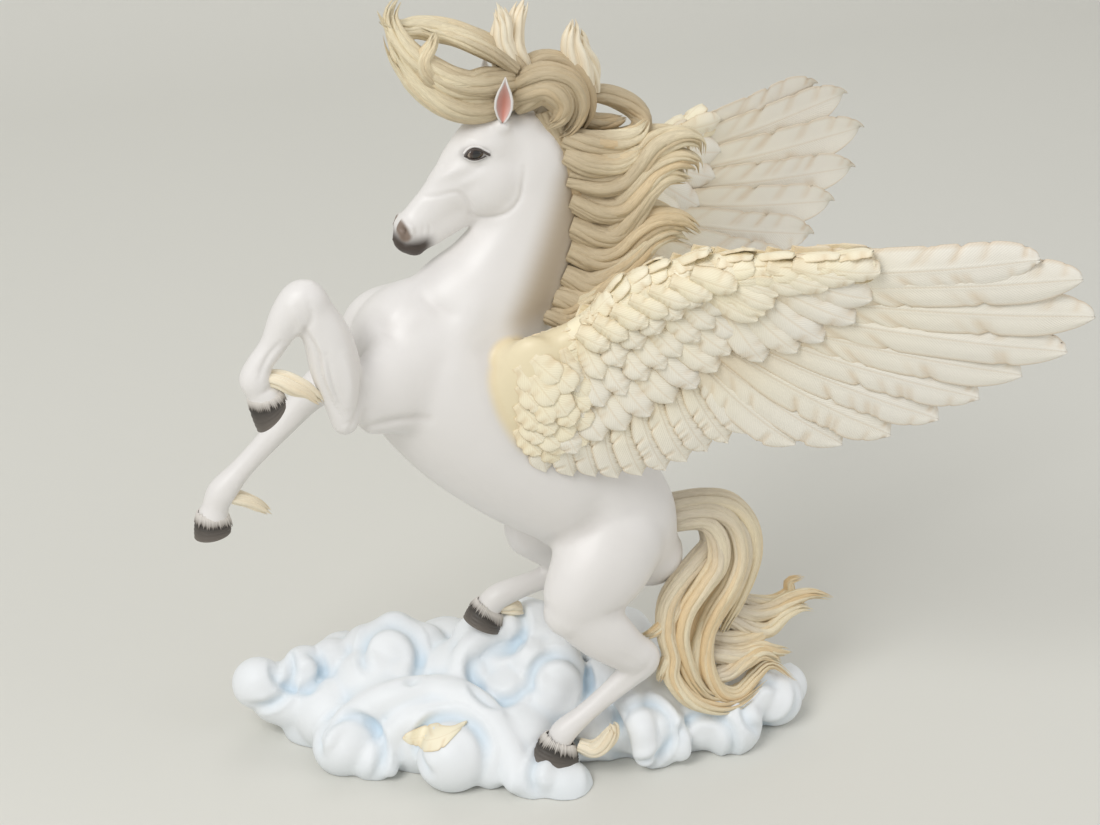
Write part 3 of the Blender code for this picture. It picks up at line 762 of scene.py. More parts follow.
@dataclass
class Horse:
    """Body, neck, head and legs, carved from one skin."""

    grain: float = 1.2
    near: float = -24.0
    far: float = 20.0
    eye: Spot = (-30.5, 263.8)
    nostril: Spot = (-57.0, 236.0)
    skin: Skin | None = None
    legs: list[Leg] = field(default_factory=list)

    def __post_init__(self) -> None:
        """Lay out the four legs."""
        near, far = self.near, self.far
        self.legs = [
            Leg(near, ((-38, -5, 186, 17, 26), (-52, -9, 183, 14, 23), (-64, -14, 180.5, 11, 20),
                       (-75, -18, 179, 8, 15.5)),
                ((-85.5, near, 173.5, 5.5, 5), (-86.2, near, 184, 7.6, 7.4), (-88, near, 195, 8.8, 9.2),
                 (-90.5, near, 207, 8.4, 8.6), (-95, near, 217, 7.2, 7.6), (-98.5, near, 222.5, 7.2, 7.8),
                 (-104.5, near, 217, 5.8, 6.4), (-110, near, 207, 4.5, 4.8), (-115, near, 200.5, 4.4, 4.7),
                 (-117, near, 195, 5.4, 5.8), (-115.6, near, 190.5, 4.9, 5.4), (-114, near, 187.5, 5.6, 6.2)),
                ((-120.0, 185.4), (-107.4, 188.6)), ((-117.3, 174.4), (-106.7, 184.0)), 6.4),
            Leg(far, ((-54, far - 7, 195, 12, 14), (-63, far - 3, 192, 11, 12.5), (-68, far - 2, 181, 10, 11)),
                ((-68, far - 2, 181, 9.5, 10.5), (-77, far, 173, 7.6, 8.6), (-86, far, 167, 6.8, 7.4),
                 (-91, far, 163, 5.8, 6.2), (-102, far, 152, 4.6, 5), (-116, far, 138.5, 4.2, 4.4),
                 (-125, far, 129, 5.4, 5.8), (-128, far, 123, 4.6, 5.2), (-129, far, 119.5, 5.8, 6.4)),
                ((-135.7, 119.5), (-122.6, 118)), ((-136.8, 110.5), (-122.6, 112.5)), 6.4),
            Leg(near, ((23, near + 11, 104, 16, 22), (14, near + 5, 93, 15, 21), (4, near + 1, 82, 11.5, 16),
                       (0, near, 76, 9, 11)),
                ((2, near, 79, 9, 12), (14, near - 1, 66, 8.5, 11.5), (24, near - 1, 56, 7, 9),
                 (31, near, 50, 6.4, 7.6), (26, near, 44, 4.8, 6), (18, near, 37.5, 4.2, 4.8),
                 (7, near, 29, 4.2, 4.4), (-1.5, near, 22.5, 5.2, 5.4), (-4, near, 18.5, 5, 5.4)),
                ((-11, 20.5), (3.4, 13.6)), ((-15.6, 12.4), (4.0, 6.6)), 7.2),
            Leg(far, ((26, far - 8, 104, 16, 20), (12, far - 3, 99, 13, 18), (-2, far, 91, 10, 13)),
                ((-2, far, 91, 9, 11), (10, far, 81, 8, 10), (21, far, 72, 6.4, 7.6),
                 (14, far, 70, 4.8, 5.6), (-2, far, 66.5, 4.4, 4.8), (-15, far, 63, 5.2, 5.6),
                 (-19.5, far, 59.5, 5, 5.4), (-20.5, far, 57.5, 5.4, 5.8)),
                ((-26, 61.4), (-14.4, 52.4)), ((-30.4, 54.2), (-15.6, 46.8)), 7.2),
        ]

    def trunk(self, clay: Clay) -> None:
        """Barrel, quarters, breast and neck."""
        clay.loft([
            (42, 0, 84, 14, 14), (31, 0, 98, 22, 24), (15, 0, 118, 25, 28), (-5, 0, 139.5, 28, 34),
            (-26, 0, 161.5, 28, 36.5), (-45, 0, 181, 25, 33), (-57, 0, 194, 18, 24),
        ])
        clay.loft([
            (-36, 0, 186, 22, 30), (-27, 0, 199, 20, 29), (-17, 0, 213, 16, 24), (-10, 0, 228, 13, 20),
            (-7, 0, 244, 11, 17), (-8, 0, 257, 10, 15), (-12, 0, 267, 8, 11),
        ])

    def head(self, clay: Clay) -> None:
        """Skull from poll to muzzle, with cheeks, brows, nostrils and ears."""
        clay.loft([
            (-12, 0, 268, 7, 8), (-22, 0, 265, 8.8, 11.8), (-30.0, 0, 257.4, 8.2, 11.4),
            (-36.2, 0, 250.0, 6.8, 10.0), (-42.3, 0, 244.3, 5.6, 8.4), (-48.1, 0, 238.7, 5.2, 7.6), (-52, 0, 234.5, 5.6, 7.4),
            (-54.0, 0, 231, 5.4, 6.2),
        ])
        for side in (-1, 1):
            clay.ball((-22.8, side * 4.2, 250.8), (12.0, 6.6, 13.0))
            clay.ball((-30.0, side * 6.6, 263.0), (5.4, 3.2, 4.0), 35)
            clay.ball((-55.4, side * 3.4, 236.4), (3.6, 3.2, 3.6), 40)
            clay.ball((-20, side * 6.4, 272.5), (3.6, 3.0, 3.4))
        clay.ball((-27.5, 0, 266.5), (8.5, 6.6, 6.8), 50)
        clay.ball((-52.6, 0, 227.6), (4.4, 4.2, 2.9), -25)
        clay.loft([(-20, 0, 247, 4, 7), (-30, 0, 243.2, 4.6, 7.4), (-38, 0, 238.6, 4.6, 7.2),
                   (-45, 0, 234, 4.6, 6.2), (-51, 0, 230, 4.4, 4.6)])

    def build(self, wings: "list[Wing]") -> Shape:
        """Press the forms together, carve the features and paint the masks.

        Args:
            wings: the wings that grow from the shoulders.

        Returns:
            The horse's object.
        """
        clay = Clay()
        self.trunk(clay)
        self.head(clay)
        for wing in wings:
            wing.shoulder(clay)
        for leg in self.legs:
            clay.loft(leg.upper)
            clay.loft(leg.lower)
        shape = clay.pressed("horse_body", self.grain)
        rough = Skin(shape.data)
        rough.fill_creases(14)
        rough.relax(2)
        rough.normals()
        self.refine(shape.data)
        self.skin = Skin(shape.data)
        self.skin.relax(3)
        for stroke in self.strokes():
            self.skin.carve(stroke)
        self.skin.relax(1)
        self.masks(wings)
        return shape

    def refine(self, data: Mesh) -> None:
        """Split the faces of the head and the near foreleg, whose carving is finest."""
        mesh = bmesh.new()
        mesh.from_mesh(data)

        def fine(vert: bmesh.types.BMVert) -> bool:
            x, y, z = (value / MM for value in vert.co)
            head = z > 223 and -66 < x < (-9 if z > 232 else -42)
            return head or (x < -74 and z > 164 and y < -10)

        edges = [edge for edge in mesh.edges if fine(edge.verts[0]) and fine(edge.verts[1])]
        bmesh.ops.subdivide_edges(mesh, edges=edges, cuts=1, use_grid_fill=True)
        mesh.to_mesh(data)
        mesh.free()

    def strokes(self) -> list[Stroke]:
        """Grooves and ridges of the head, the chest and the legs."""
        both = (Side.NEAR, Side.FAR)
        head = partial(Stroke, sides=both, flank=9.0, reach=9.0)
        nose = partial(Stroke, sides=both, flank=5.0, reach=6.0)
        leg = partial(Stroke, flank=24.0, reach=13.0)
        x, z = self.nostril
        return [
            head(((-12.6, 257), (-13.4, 251), (-14.6, 245.5), (-18, 241.3), (-22.5, 239), (-28.2, 238.2),
                    (-31.9, 239.8)), 1.0, 0.7),
            head(((-31.3, 239.4), (-33.1, 245), (-36, 248.7), (-38.6, 249.4), (-44.2, 248.2), (-51.6, 247.5)),
                   0.8, 0.5),
            head(((-34, 259), (-38.5, 257), (-47.8, 252.4)), 1.7, -0.7),
            head(((-27.9, 256.5), (-36.5, 251.8)), 1.8, -0.5),
            head(((-36, 262.5), (-42, 258), (-50, 251)), 1.6, 0.5),
            Stroke(((-59, 231.4), (-53, 229.6), (-49.4, 230.1), (-46.7, 231.9)), 0.6, 0.8,
                   sides=both, flank=4.0, reach=7.0),
            nose(((x - 1.4, z + 2), (x + 0.6, z), (x + 0.8, z - 2.4)), 1.2, 2.2),
            nose(((x - 0.6, z + 4), (x + 2.8, z + 1.6), (x + 3, z - 2)), 0.9, -0.6),
            head(((-49.5, 238), (-49.8, 234)), 0.6, 0.35),
            head(((-47.3, 238.4), (-47, 233.6)), 0.6, 0.35),
            head(((-36, 262), (-34, 260.4), (-30, 258.8), (-26, 260)), 1.2, 0.45),
            head(((-36, 264.5), (-31.5, 268), (-26, 266.4), (-23, 263)), 1.5, -0.55),
            Stroke(((-34, 264.2), (-27.5, 263.4)), 3.0, 1.0, sides=both, flank=9.0, reach=7.0),
            leg(((-99.5, 214), (-95.6, 205), (-94.6, 195), (-91.5, 185), (-87, 175)), 1.0, 1.3),
            leg(((-93, 204), (-91.5, 194), (-89, 185), (-85.5, 176)), 0.9, 1.0),
            Stroke(((-81, 207), (-79.4, 197), (-79.6, 187), (-82, 179), (-85, 172)), 1.3, 1.3,
                   flank=21.0, reach=16.0),
            leg(((-97.5, 214), (-93.6, 204), (-92.6, 195), (-90, 186)), 1.1, -0.7),
            leg(((-86.5, 203), (-84.5, 193), (-85, 183)), 2.0, -0.8),
            Stroke(((-79, 204), (-73.5, 199), (-68, 196.5)), 1.0, 0.7, flank=24.0, reach=14.0),
            leg(((-104, 223), (-101, 215), (-105, 208)), 1.6, -0.7),
            leg(((-98, 226), (-97, 219), (-99, 213)), 1.2, 0.6),
            leg(((-108, 210), (-113, 204), (-116.5, 197)), 0.9, 0.8),
            leg(((-116, 191), (-112, 192.5), (-108.5, 191.5)), 0.9, 0.6),
            Stroke(((-81.5, 167.5), (-74, 170), (-65, 170.5), (-54, 169)), 1.7, 1.3, flank=18.0, reach=18.0),
            Stroke(((-74, 214), (-68, 203), (-60, 196)), 3.5, 1.0, flank=16.0, reach=16.0),
            Stroke(((-56, 213), (-46, 208), (-38, 206)), 3.0, 0.7, flank=14.0, reach=16.0),
            Stroke(((-30, 216), (-38, 203), (-44, 188)), 5.0, -0.9, flank=20.0, reach=18.0),
            Stroke(((-7, 103), (2, 108), (9, 118), (14, 128)), 6.0, 1.4, sides=both, flank=22.0, reach=20.0),
            leg(((11, 79.3), (23, 78)), 0.8, 0.7),
            Stroke(((-4, 84), (6, 96), (14, 108)), 6.0, -0.8, flank=26.0, reach=16.0),
            leg(((34, 56), (28, 47), (14, 36)), 1.0, 0.5),
            leg(((18, 60), (24, 54), (28, 49)), 1.2, 0.5),
            Stroke(((-45, 214), (-30, 222), (-18, 238), (-14, 250)), 4.0, -0.5, sides=both, flank=14.0, reach=14.0),
        ]

    def masks(self, wings: "list[Wing]") -> None:
        """Keep where the beige, cream, muzzle, nostril and eyelid paints go, and the painted shade in the creases, in
        the cream root's hollows and around the eye.

        Args:
            wings: the wings, whose roots are cream.
        """
        skin = self.skin
        x, y, z = skin.places.T
        # Grey painted shade in the coat's creases, as deep as each point lies in a hollow.
        fold = skin.hollows(16, 0.8)
        skin.keep("fold", fold)
        cream = np.maximum.reduce([wing.root_mask(skin.places) for wing in wings])
        skin.keep("cream", cream)
        # Tan painted shade in the hollows of the cream wing root.
        skin.keep("tan", cream * np.clip(fold * 1.5, 0, 1))
        beige, _ = skin.near_line(along(((7, 246), (0, 228), (-7, 212), (-13, 200)), 16), [0, 2])
        skin.keep("beige", (1 - ease(beige, 1, 14)) * ease(z, 190, 205))
        low = 1 - ease(z - 0.8 * np.clip(-56 - x, 0, 9), 229.5, 235.5)
        skin.keep("muzzle", low * ease(-x, 43.5, 49) * (x > -66) * (z > 223.2))
        pit, _ = skin.near_line(along(((self.nostril[0] - 1, self.nostril[1] + 2),
                                       (self.nostril[0] + 0.8, self.nostril[1] - 2)), 6), [0, 2])
        skin.keep("nostril", (1 - ease(pit, 1.2, 2.8)) * (np.abs(y) > 2) * (x < -50))
        # Dark brown around the eye: the eyelid paint, with painted shade in the socket.
        reach = np.hypot((x - self.eye[0]) / 5.4, (z - self.eye[1] + 0.3) / 3.2)
        skin.keep("lid", (1 - ease(reach, 0.6, 1.2)) * (np.abs(y) > 5) * 0.45)

    def surface(self, x: float, z: float, side: Side) -> float:
        """Y of the horse's skin at a place in the side view.

        Args:
            x, z: the place.
            side: the side that is looked at.

        Returns:
            The y of the outermost skin there.
        """
        close = (np.abs(self.skin.places[:, 0] - x) < 1.2) & (np.abs(self.skin.places[:, 2] - z) < 1.2)
        return float((self.skin.places[close, 1] * side.value).max()) * side.value


def sheet(name: str, front: np.ndarray, back: np.ndarray) -> Mesh:
    """Closed mesh between two grids of points.

    Args:
        name: the mesh's name.
        front, back: the grids, as rows of points.

    Returns:
        The mesh, with the front's points before the back's.
    """
    rows, wide = front.shape[:2]
    count = rows * wide
    faces = []
    for row in range(rows - 1):
        for column in range(wide - 1):
            corner = row * wide + column
            faces.append((corner, corner + wide, corner + wide + 1, corner + 1))
            faces.append((count + corner, count + corner + 1, count + corner + wide + 1, count + corner + wide))
    rim = [row * wide for row in range(rows)]
    rim += [(rows - 1) * wide + column for column in range(1, wide)]
    rim += [row * wide + wide - 1 for row in range(rows - 2, -1, -1)]
    rim += list(range(wide - 2, 0, -1))
    faces += [(first, count + first, count + second, second) for first, second in zip(rim, rim[1:] + rim[:1])]
    data = bpy.data.meshes.new(name)
    data.from_pydata(np.vstack([front.reshape(-1, 3), back.reshape(-1, 3)]).tolist(), [], faces)
    return data


@dataclass
class Eyes:
    """Glossy eyes between an upper and a lower lid."""

    horse: Horse
    radii: Place = (3.7, 2.0, 2.3)
    bulge: float = 0.8
    upper: tuple[Spot, ...] = ((-4.0, -0.4), (-2.7, 1.0), (-0.8, 1.8), (1.2, 1.6), (2.9, 0.6), (4.8, -0.6))
    lower: tuple[Spot, ...] = ((-3.8, -0.6), (-2.4, -1.5), (-0.5, -1.9), (1.4, -1.7), (3.4, -1.0))

    def build(self) -> tuple[Shape, Shape]:
        """Balls with iris and pupil, and the lids that cover their edges.

        Returns:
            The eyeballs' object and the lids' object.
        """
        eye_x, eye_z = self.horse.eye
        balls, lashes, folds = Clay(), Clay(), Clay()
        for side in Side:
            y = self.horse.surface(eye_x, eye_z, side) + side.value * self.bulge
            balls.ball((eye_x, y - side.value * self.radii[1], eye_z), self.radii)
            for clay, line, rise, radius, out in (
                (lashes, self.upper, 0.0, 0.42, 0.45), (lashes, self.lower, 0.0, 0.24, 0.30),
                (folds, self.upper, 0.8, 0.5, -0.34), (folds, self.lower, -0.6, 0.4, -0.38),
            ):
                rows = []
                for run, lift in line:
                    x, z = eye_x + run, eye_z + lift + rise
                    rows.append((x, self.horse.surface(x, z, side) + side.value * out, z, radius, radius))
                clay.loft(rows, sides=10, per_span=4)
        eyes = balls.loose("eyeballs")
        places = read(eyes.data.vertices, "co", 3) / MM
        away = np.hypot(places[:, 0] - eye_x, places[:, 2] - eye_z)
        store(eyes.data, "iris", 1 - ease(away, 2.4, 2.8))
        store(eyes.data, "pupil", 1 - ease(away, 1.3, 1.8))
        edge = np.hypot((places[:, 0] - eye_x) / self.radii[0], (places[:, 2] - eye_z) / self.radii[2])
        store(eyes.data, "rim", ease(edge, 0.72, 0.95))
        count = len(lashes.mesh.verts)
        lashes.mesh.from_mesh(mesh_of(folds.mesh, "folds", 1.0))
        rims = lashes.loose("eyelids")
        store(rims.data, "lid", np.arange(len(rims.data.vertices)) < count)
        return eyes, rims


@dataclass
class Ears:
    """Upright leaf-shaped ears, hollow towards the side."""

    base: Place = (-20.6, 9.0, 274.4)
    tip: Place = (-20.6, 13.0, 292.4)
    widths: tuple[float, ...] = (0.9, 2.5, 3.4, 3.4, 2.6, 1.3, 0.2)
    facing: Place = (-0.30, 0.90, 0.10)
    wall: float = 0.75
    rows: int = 22
    columns: int = 20
    wrap: float = 112.0

    def build(self) -> Shape:
        """Bend a closed sheet into each ear.

        Returns:
            The ears' object.
        """
        shells = bmesh.new()
        inner: list[float] = []
        for side in Side:
            way = np.array((1, side.value, 1))
            base, tip = np.array(self.base) * way, np.array(self.tip) * way
            facing = np.array(self.facing) * way
            axis = (tip - base) / np.linalg.norm(tip - base)
            facing = facing - axis * (facing @ axis)
            facing /= np.linalg.norm(facing)
            aside = np.cross(axis, facing)
            share = np.linspace(0, 1, self.rows)[:, None]
            width = np.interp(share, np.linspace(0, 1, len(self.widths)), self.widths)
            turn = np.radians(np.linspace(-self.wrap, self.wrap, self.columns))[None, :]
            grids = []
            for radius in (np.maximum(width - self.wall, 0.1 * width), width):
                grids.append(base + (tip - base) * share[..., None]
                             + aside * (radius * np.sin(turn))[..., None]
                             - facing * (radius * 0.9 * np.cos(turn))[..., None])
            shells.from_mesh(sheet("ear", *grids))
            hollow = (1 - np.abs(turn / turn.max())) ** 0.8 * (1 - 0.5 * ease(share, 0.4, 1.0))
            inner += [*hollow.ravel(), *np.zeros(hollow.size)]
        ears = mesh_of(shells, "ears")
        store(ears, "ear", np.array(inner))
        turn_outward(ears)
        return new_shape("ears", ears)


def fringe_tree() -> NodeTree:
    """Geometry tree that plants tapering hairs on points and lays each along its own turn."""
    tree, given, out = geometry_tree(
        "coronet_fringe", ("Hair", "NodeSocketObject", None), ("Seed", "NodeSocketInt", 7))
    hair = tree.add("GeometryNodeObjectInfo", {"Object": given.outputs["Hair"]})
    vary = tree.add("FunctionNodeRandomValue", {
        "Min": 0.75, "Max": 1.3, "Seed": given.outputs["Seed"]}, data_type="FLOAT")
    planted = tree.add("GeometryNodeInstanceOnPoints", {
        "Points": given.outputs["Geometry"], "Instance": hair.outputs["Geometry"], "Rotation": tree.turned(),
        "Scale": tree.scaled(tree.stored("size", "FLOAT_VECTOR"), vary.outputs[1])})
    return tree.dress(planted.outputs[0], given, out)


def feather_tree() -> NodeTree:
    """Geometry tree that plants feather blades on points and bows each one sideways."""
    tree, given, out = geometry_tree(
        "planted_feathers", ("Blades", "NodeSocketCollection", None), ("Bow Scale", "NodeSocketFloat", 1.0))
    blades = tree.add("GeometryNodeCollectionInfo", {
        "Collection": given.outputs["Blades"], "Separate Children": True, "Reset Children": True})
    planted = tree.add("GeometryNodeInstanceOnPoints", {
        "Points": given.outputs["Geometry"], "Instance": blades.outputs[0], "Pick Instance": True,
        "Instance Index": tree.stored("pick", "INT"), "Rotation": tree.turned(),
        "Scale": tree.stored("size", "FLOAT_VECTOR")})
    real = tree.add("GeometryNodeRealizeInstances", {"Geometry": planted.outputs[0]})
    heading = tree.add("ShaderNodeSeparateXYZ", {0: tree.stored("turn", "FLOAT_VECTOR")}).outputs[2]
    swell = tree.maths("SINE", tree.maths("MULTIPLY", tree.stored("share"), math.pi))
    push = tree.maths("MULTIPLY", tree.maths("MULTIPLY", tree.stored("bow"), swell), given.outputs["Bow Scale"])
    aside = tree.add("ShaderNodeCombineXYZ", {
        0: tree.maths("MULTIPLY", tree.maths("MULTIPLY", tree.maths("SINE", heading), -1.0), push),
        1: tree.maths("MULTIPLY", tree.maths("COSINE", heading), push)})
    bent = tree.add("GeometryNodeSetPosition", {"Geometry": real.outputs[0], "Offset": aside.outputs[0]})
    return tree.dress(bent.outputs[0], given, out)


def strand_tree() -> NodeTree:
    """Geometry tree that sweeps a fluted section along every strand of hair."""
    tree, given, out = geometry_tree(
        "swept_strands", ("Section Points", "NodeSocketInt", 14), ("Flutes", "NodeSocketInt", 3),
        ("Flute Depth", "NodeSocketFloat", 0.12))
    ring = tree.add("GeometryNodeCurvePrimitiveCircle", {
        "Resolution": given.outputs["Section Points"], "Radius": 1.0})
    index = tree.add("GeometryNodeInputIndex").outputs[0]
    step = tree.maths("DIVIDE", tree.maths("MULTIPLY", index, 2 * math.pi), given.outputs["Section Points"])
    wave = tree.maths("SINE", tree.maths("MULTIPLY", step, given.outputs["Flutes"]))
    swell = tree.maths("MULTIPLY_ADD", wave, given.outputs["Flute Depth"], 1.0)
    place = tree.add("GeometryNodeInputPosition").outputs[0]
    spread = tree.scaled(place, swell)
    marked = tree.add("GeometryNodeStoreNamedAttribute", {
        "Geometry": ring.outputs["Curve"], "Name": "swing", "Value": place},
        data_type="FLOAT_VECTOR", domain="POINT")
    valley = tree.maths("MULTIPLY_ADD", wave, -0.5, 0.5)
    fluted = tree.add("GeometryNodeStoreNamedAttribute", {
        "Geometry": marked.outputs[0], "Name": "valley", "Value": valley}, data_type="FLOAT", domain="POINT")
    section = tree.add("GeometryNodeSetPosition", {"Geometry": fluted.outputs[0], "Position": spread})
    routes = tree.add("GeometryNodeMeshToCurve", {"Mesh": given.outputs["Geometry"]})
    swept = tree.add("GeometryNodeCurveToMesh", {
        "Curve": routes.outputs[0], "Profile Curve": section.outputs[0], "Scale": tree.stored("thickness"),
        "Fill Caps": True})
    return tree.dress(swept.outputs[0], given, out)


def point_mesh(name: str, places: np.ndarray, numbers: dict[str, np.ndarray], picks: np.ndarray | None = None,
               vectors: dict[str, np.ndarray] | None = None, edges: list | None = None) -> Shape:
    """Object of bare points, with values that a geometry tree reads.

    Args:
        name: the object's name.
        places: the points.
        numbers: one number for each point, by name.
        picks: which of several forms goes on each point.
        vectors: one vector for each point, by name.
        edges: pairs of points that are joined.

    Returns:
        The object, linked to the scene.
    """
    data = bpy.data.meshes.new(name)
    data.from_pydata(places.tolist(), edges or [], [])
    for label, values in numbers.items():
        store(data, label, values)
    for label, values in (vectors or {}).items():
        attribute = data.attributes.new(label, "FLOAT_VECTOR", "POINT")
        attribute.data.foreach_set("vector", values.astype(np.float32).ravel())
    if picks is not None:
        data.attributes.new("pick", "INT", "POINT").data.foreach_set("value", picks.astype(np.int32))
    return new_shape(name, data)


@dataclass
class Hooves:
    """Four horn hooves with growth rings, and the short hair that overhangs each."""

    horse: Horse
    rings: int = 26
    sides: int = 56
    hairs: int = 58
    hair_length: float = 3.0

    def ring(self, leg: Leg, share: float, grow: float = 0.0) -> np.ndarray:
        """Points around a hoof, from its front by way of its side.

        Args:
            leg: the leg that it ends.
            share: 0 at the coronet and 1 at the sole.
            grow: how much wider it is.

        Returns:
            The points, one row each.
        """
        ends = [(1 - share) * np.array(high) + share * np.array(low) for high, low in zip(leg.coronet, leg.sole)]
        centre, half = (ends[0] + ends[1]) / 2, (ends[0] - ends[1]) / 2
        turn = np.linspace(0, 2 * math.pi, self.sides, endpoint=False)
        swell = 1 + 0.012 * math.sin(share * 34) + 0.05 * math.sin(math.pi * share) + grow / np.linalg.norm(half)
        cleft = 1 - 0.14 * np.exp(-((turn - math.pi) / 0.22) ** 2)
        width = leg.hoof_width * (0.86 + 0.20 * share) + grow
        front = half[None, :] * (np.cos(turn) * swell * cleft)[:, None]
        return np.stack([centre[0] + front[:, 0], leg.plane + width * np.sin(turn) * swell,
                         centre[1] + front[:, 1]], axis=1)

    def build(self, tree: NodeTree, finish: Material) -> tuple[Shape, Shape]:
        """Hooves and overhanging hair of all four legs.

        Args:
            tree: the hair's geometry tree.
            finish: the hair's finish.

        Returns:
            The hooves' object and the hair's object.
        """
        mesh = bmesh.new()
        shares: list[float] = []
        roots, turns, sizes = [], [], []
        for leg in self.horse.legs:
            loops = []
            for index in range(self.rings + 1):
                share = index / self.rings
                grow = -0.45 if index in (0, self.rings) else 0.0
                loops.append([mesh.verts.new(place) for place in self.ring(leg, share, grow)])
                shares += [share] * self.sides
            for high, low in zip(loops, loops[1:]):
                for step in range(self.sides):
                    after = (step + 1) % self.sides
                    mesh.faces.new((high[step], high[after], low[after], low[step]))
            mesh.faces.new(loops[0])
            mesh.faces.new(reversed(loops[-1]))
            top, low = (along(np.vstack([ring, ring[:1]]), self.hairs + 1)[:-1]
                        for ring in (self.ring(leg, -0.12, -0.2), self.ring(leg, 0.3, 0.35)))
            for root, end in zip(top, low):
                heading = Vector(end - root).normalized()
                roots.append(root)
                turns.append(heading.to_track_quat("X", "Z").to_euler())
                sizes.append((self.hair_length, 0.8, 0.6))
        hooves = mesh_of(mesh, "hooves")
        shape = new_shape("hooves", hooves)
        store(hooves, "band", 1 - ease(np.array(shares), 0.15, 0.6))
        store(hooves, "toe", ease(np.array(shares), 0.55, 1.0))
        turn_outward(hooves)
        hair = self.hair()
        fringe = point_mesh("coronet_hair", np.array(roots), {}, vectors={
            "turn": np.array(turns), "size": np.array(sizes)})
        run_tree(fringe, tree, {"Hair": hair, "Seed": 7, "Finish": finish})
        bpy.data.objects.remove(hair)
        fringe.data.transform(Matrix.Scale(MM, 4))
        turn_outward(fringe.data)
        return shape, fringe

    def hair(self) -> Shape:
        """One short tapering hair along +X, a millimetre wide at its root."""
        clay = Clay()
        clay.loft([(0, 0, 0, 0.55, 0.5), (0.35, 0, 0.1, 0.62, 0.5), (0.7, 0, 0.05, 0.42, 0.3),
                   (1.0, 0, -0.1, 0.08, 0.08)], sides=8, per_span=2)
        data = mesh_of(clay.mesh, "single_hair", 1.0)
        store(data, "share", np.clip(read(data.vertices, "co", 3)[:, 0], 0, 1))
        return new_shape("single_hair", data)


@dataclass(frozen=True)
class Lock:
    """Lock of hair: its route and its half widths across the body and in its middle plane."""

    route: tuple[Place, ...]
    across: float
    within: float


@dataclass
class Hair:
    """Locks of hair that are each a twisted bundle of fluted strands."""

    name: str
    locks: tuple[Lock, ...]
    seed: int
    strands: int = 16
    stout: float = 0.36
    fade_from: float = 0.35
    fade_to: float = 0.95
    splay: float = 0.3
    warm: float = 0.5

    def routes(self) -> tuple[np.ndarray, list, dict[str, np.ndarray]]:
        """Centre lines of every strand.

        Returns:
            Points, edges, and the strands' thickness, share, fade, warmth and reach at each point.
        """
        random = np.random.default_rng(self.seed)
        points, edges = [], []
        numbers: dict[str, list] = {key: [] for key in ("thickness", "share", "fade", "warm", "reach", "tint")}
        count = 0
        for lock in self.locks:
            line = along(lock.route, 5 * len(lock.route))
            length = np.linalg.norm(np.diff(line, axis=0), axis=1).sum()
            share = np.linspace(0, 1, len(line))
            _, sideways, upward = frames_of(line)
            body = np.sin(math.pi * (0.2 + 0.77 * share)) ** 0.6
            twist = random.uniform(0.08, 0.3) * random.choice((-1, 1))
            for strand in range(self.strands + 1):
                inner = strand == self.strands
                angle = 2 * math.pi * (strand / self.strands + random.uniform(-0.06, 0.06) + twist * share)
                spread = 0.0 if inner else 0.68 + self.splay * ease(share, 0.7, 1.0)
                wander = 0.05 * np.sin(2 * math.pi * (share * random.uniform(1.2, 2.4) + random.uniform(0, 1)))
                out_y = lock.across * body * (spread + wander) * np.cos(angle)
                out_z = lock.within * body * (spread + wander) * np.sin(angle)
                place = line + sideways * out_y[:, None] + upward * out_z[:, None]
                end = 1.0 if inner else random.uniform(0.84, 1.0)
                size = max(int(round(end * len(line))), 8)
                own = np.linspace(0, 1, size)
                thick = (0.8 if inner else self.stout * random.uniform(0.85, 1.2)) * min(lock.across, lock.within)
                radius = thick * body[:size] * np.clip((1 - own) * 5, 0.05, 1) ** 0.75
                points.append(place[:size])
                edges += [(count + step, count + step + 1) for step in range(size - 1)]
                count += size
                numbers["thickness"].append(radius)
                numbers["share"].append(own)
                shift = random.uniform(-0.12, 0.12)
                numbers["fade"].append(ease(share[:size] + shift, self.fade_from, self.fade_to))
                numbers["warm"].append(self.warm * random.uniform(0, 1) ** 2 * ease(own, 0.1, 0.7))
                numbers["reach"].append(share[:size] * length / 10 + random.uniform(0, 50))
                numbers["tint"].append(np.full(size, random.uniform(0, 1)))
        return np.vstack(points), edges, {key: np.concatenate(value) for key, value in numbers.items()}

    def build(self, tree: NodeTree, finish: Material) -> Shape:
        """Sweep the strands.

        Args:
            tree: the strands' geometry tree.
            finish: the hair's finish.

        Returns:
            The hair's object.
        """
        points, edges, numbers = self.routes()
        shape = point_mesh(self.name, points, numbers, edges=edges)
        run_tree(shape, tree, {"Section Points": 9, "Flutes": 3, "Flute Depth": 0.08, "Finish": finish})
        # Darker in the flutes' valleys: painted shade.
        store(shape.data, "groove", kept(shape.data, "valley") * 0.8)
        shape.data.transform(Matrix.Scale(MM, 4))
        turn_outward(shape.data)
        return shape


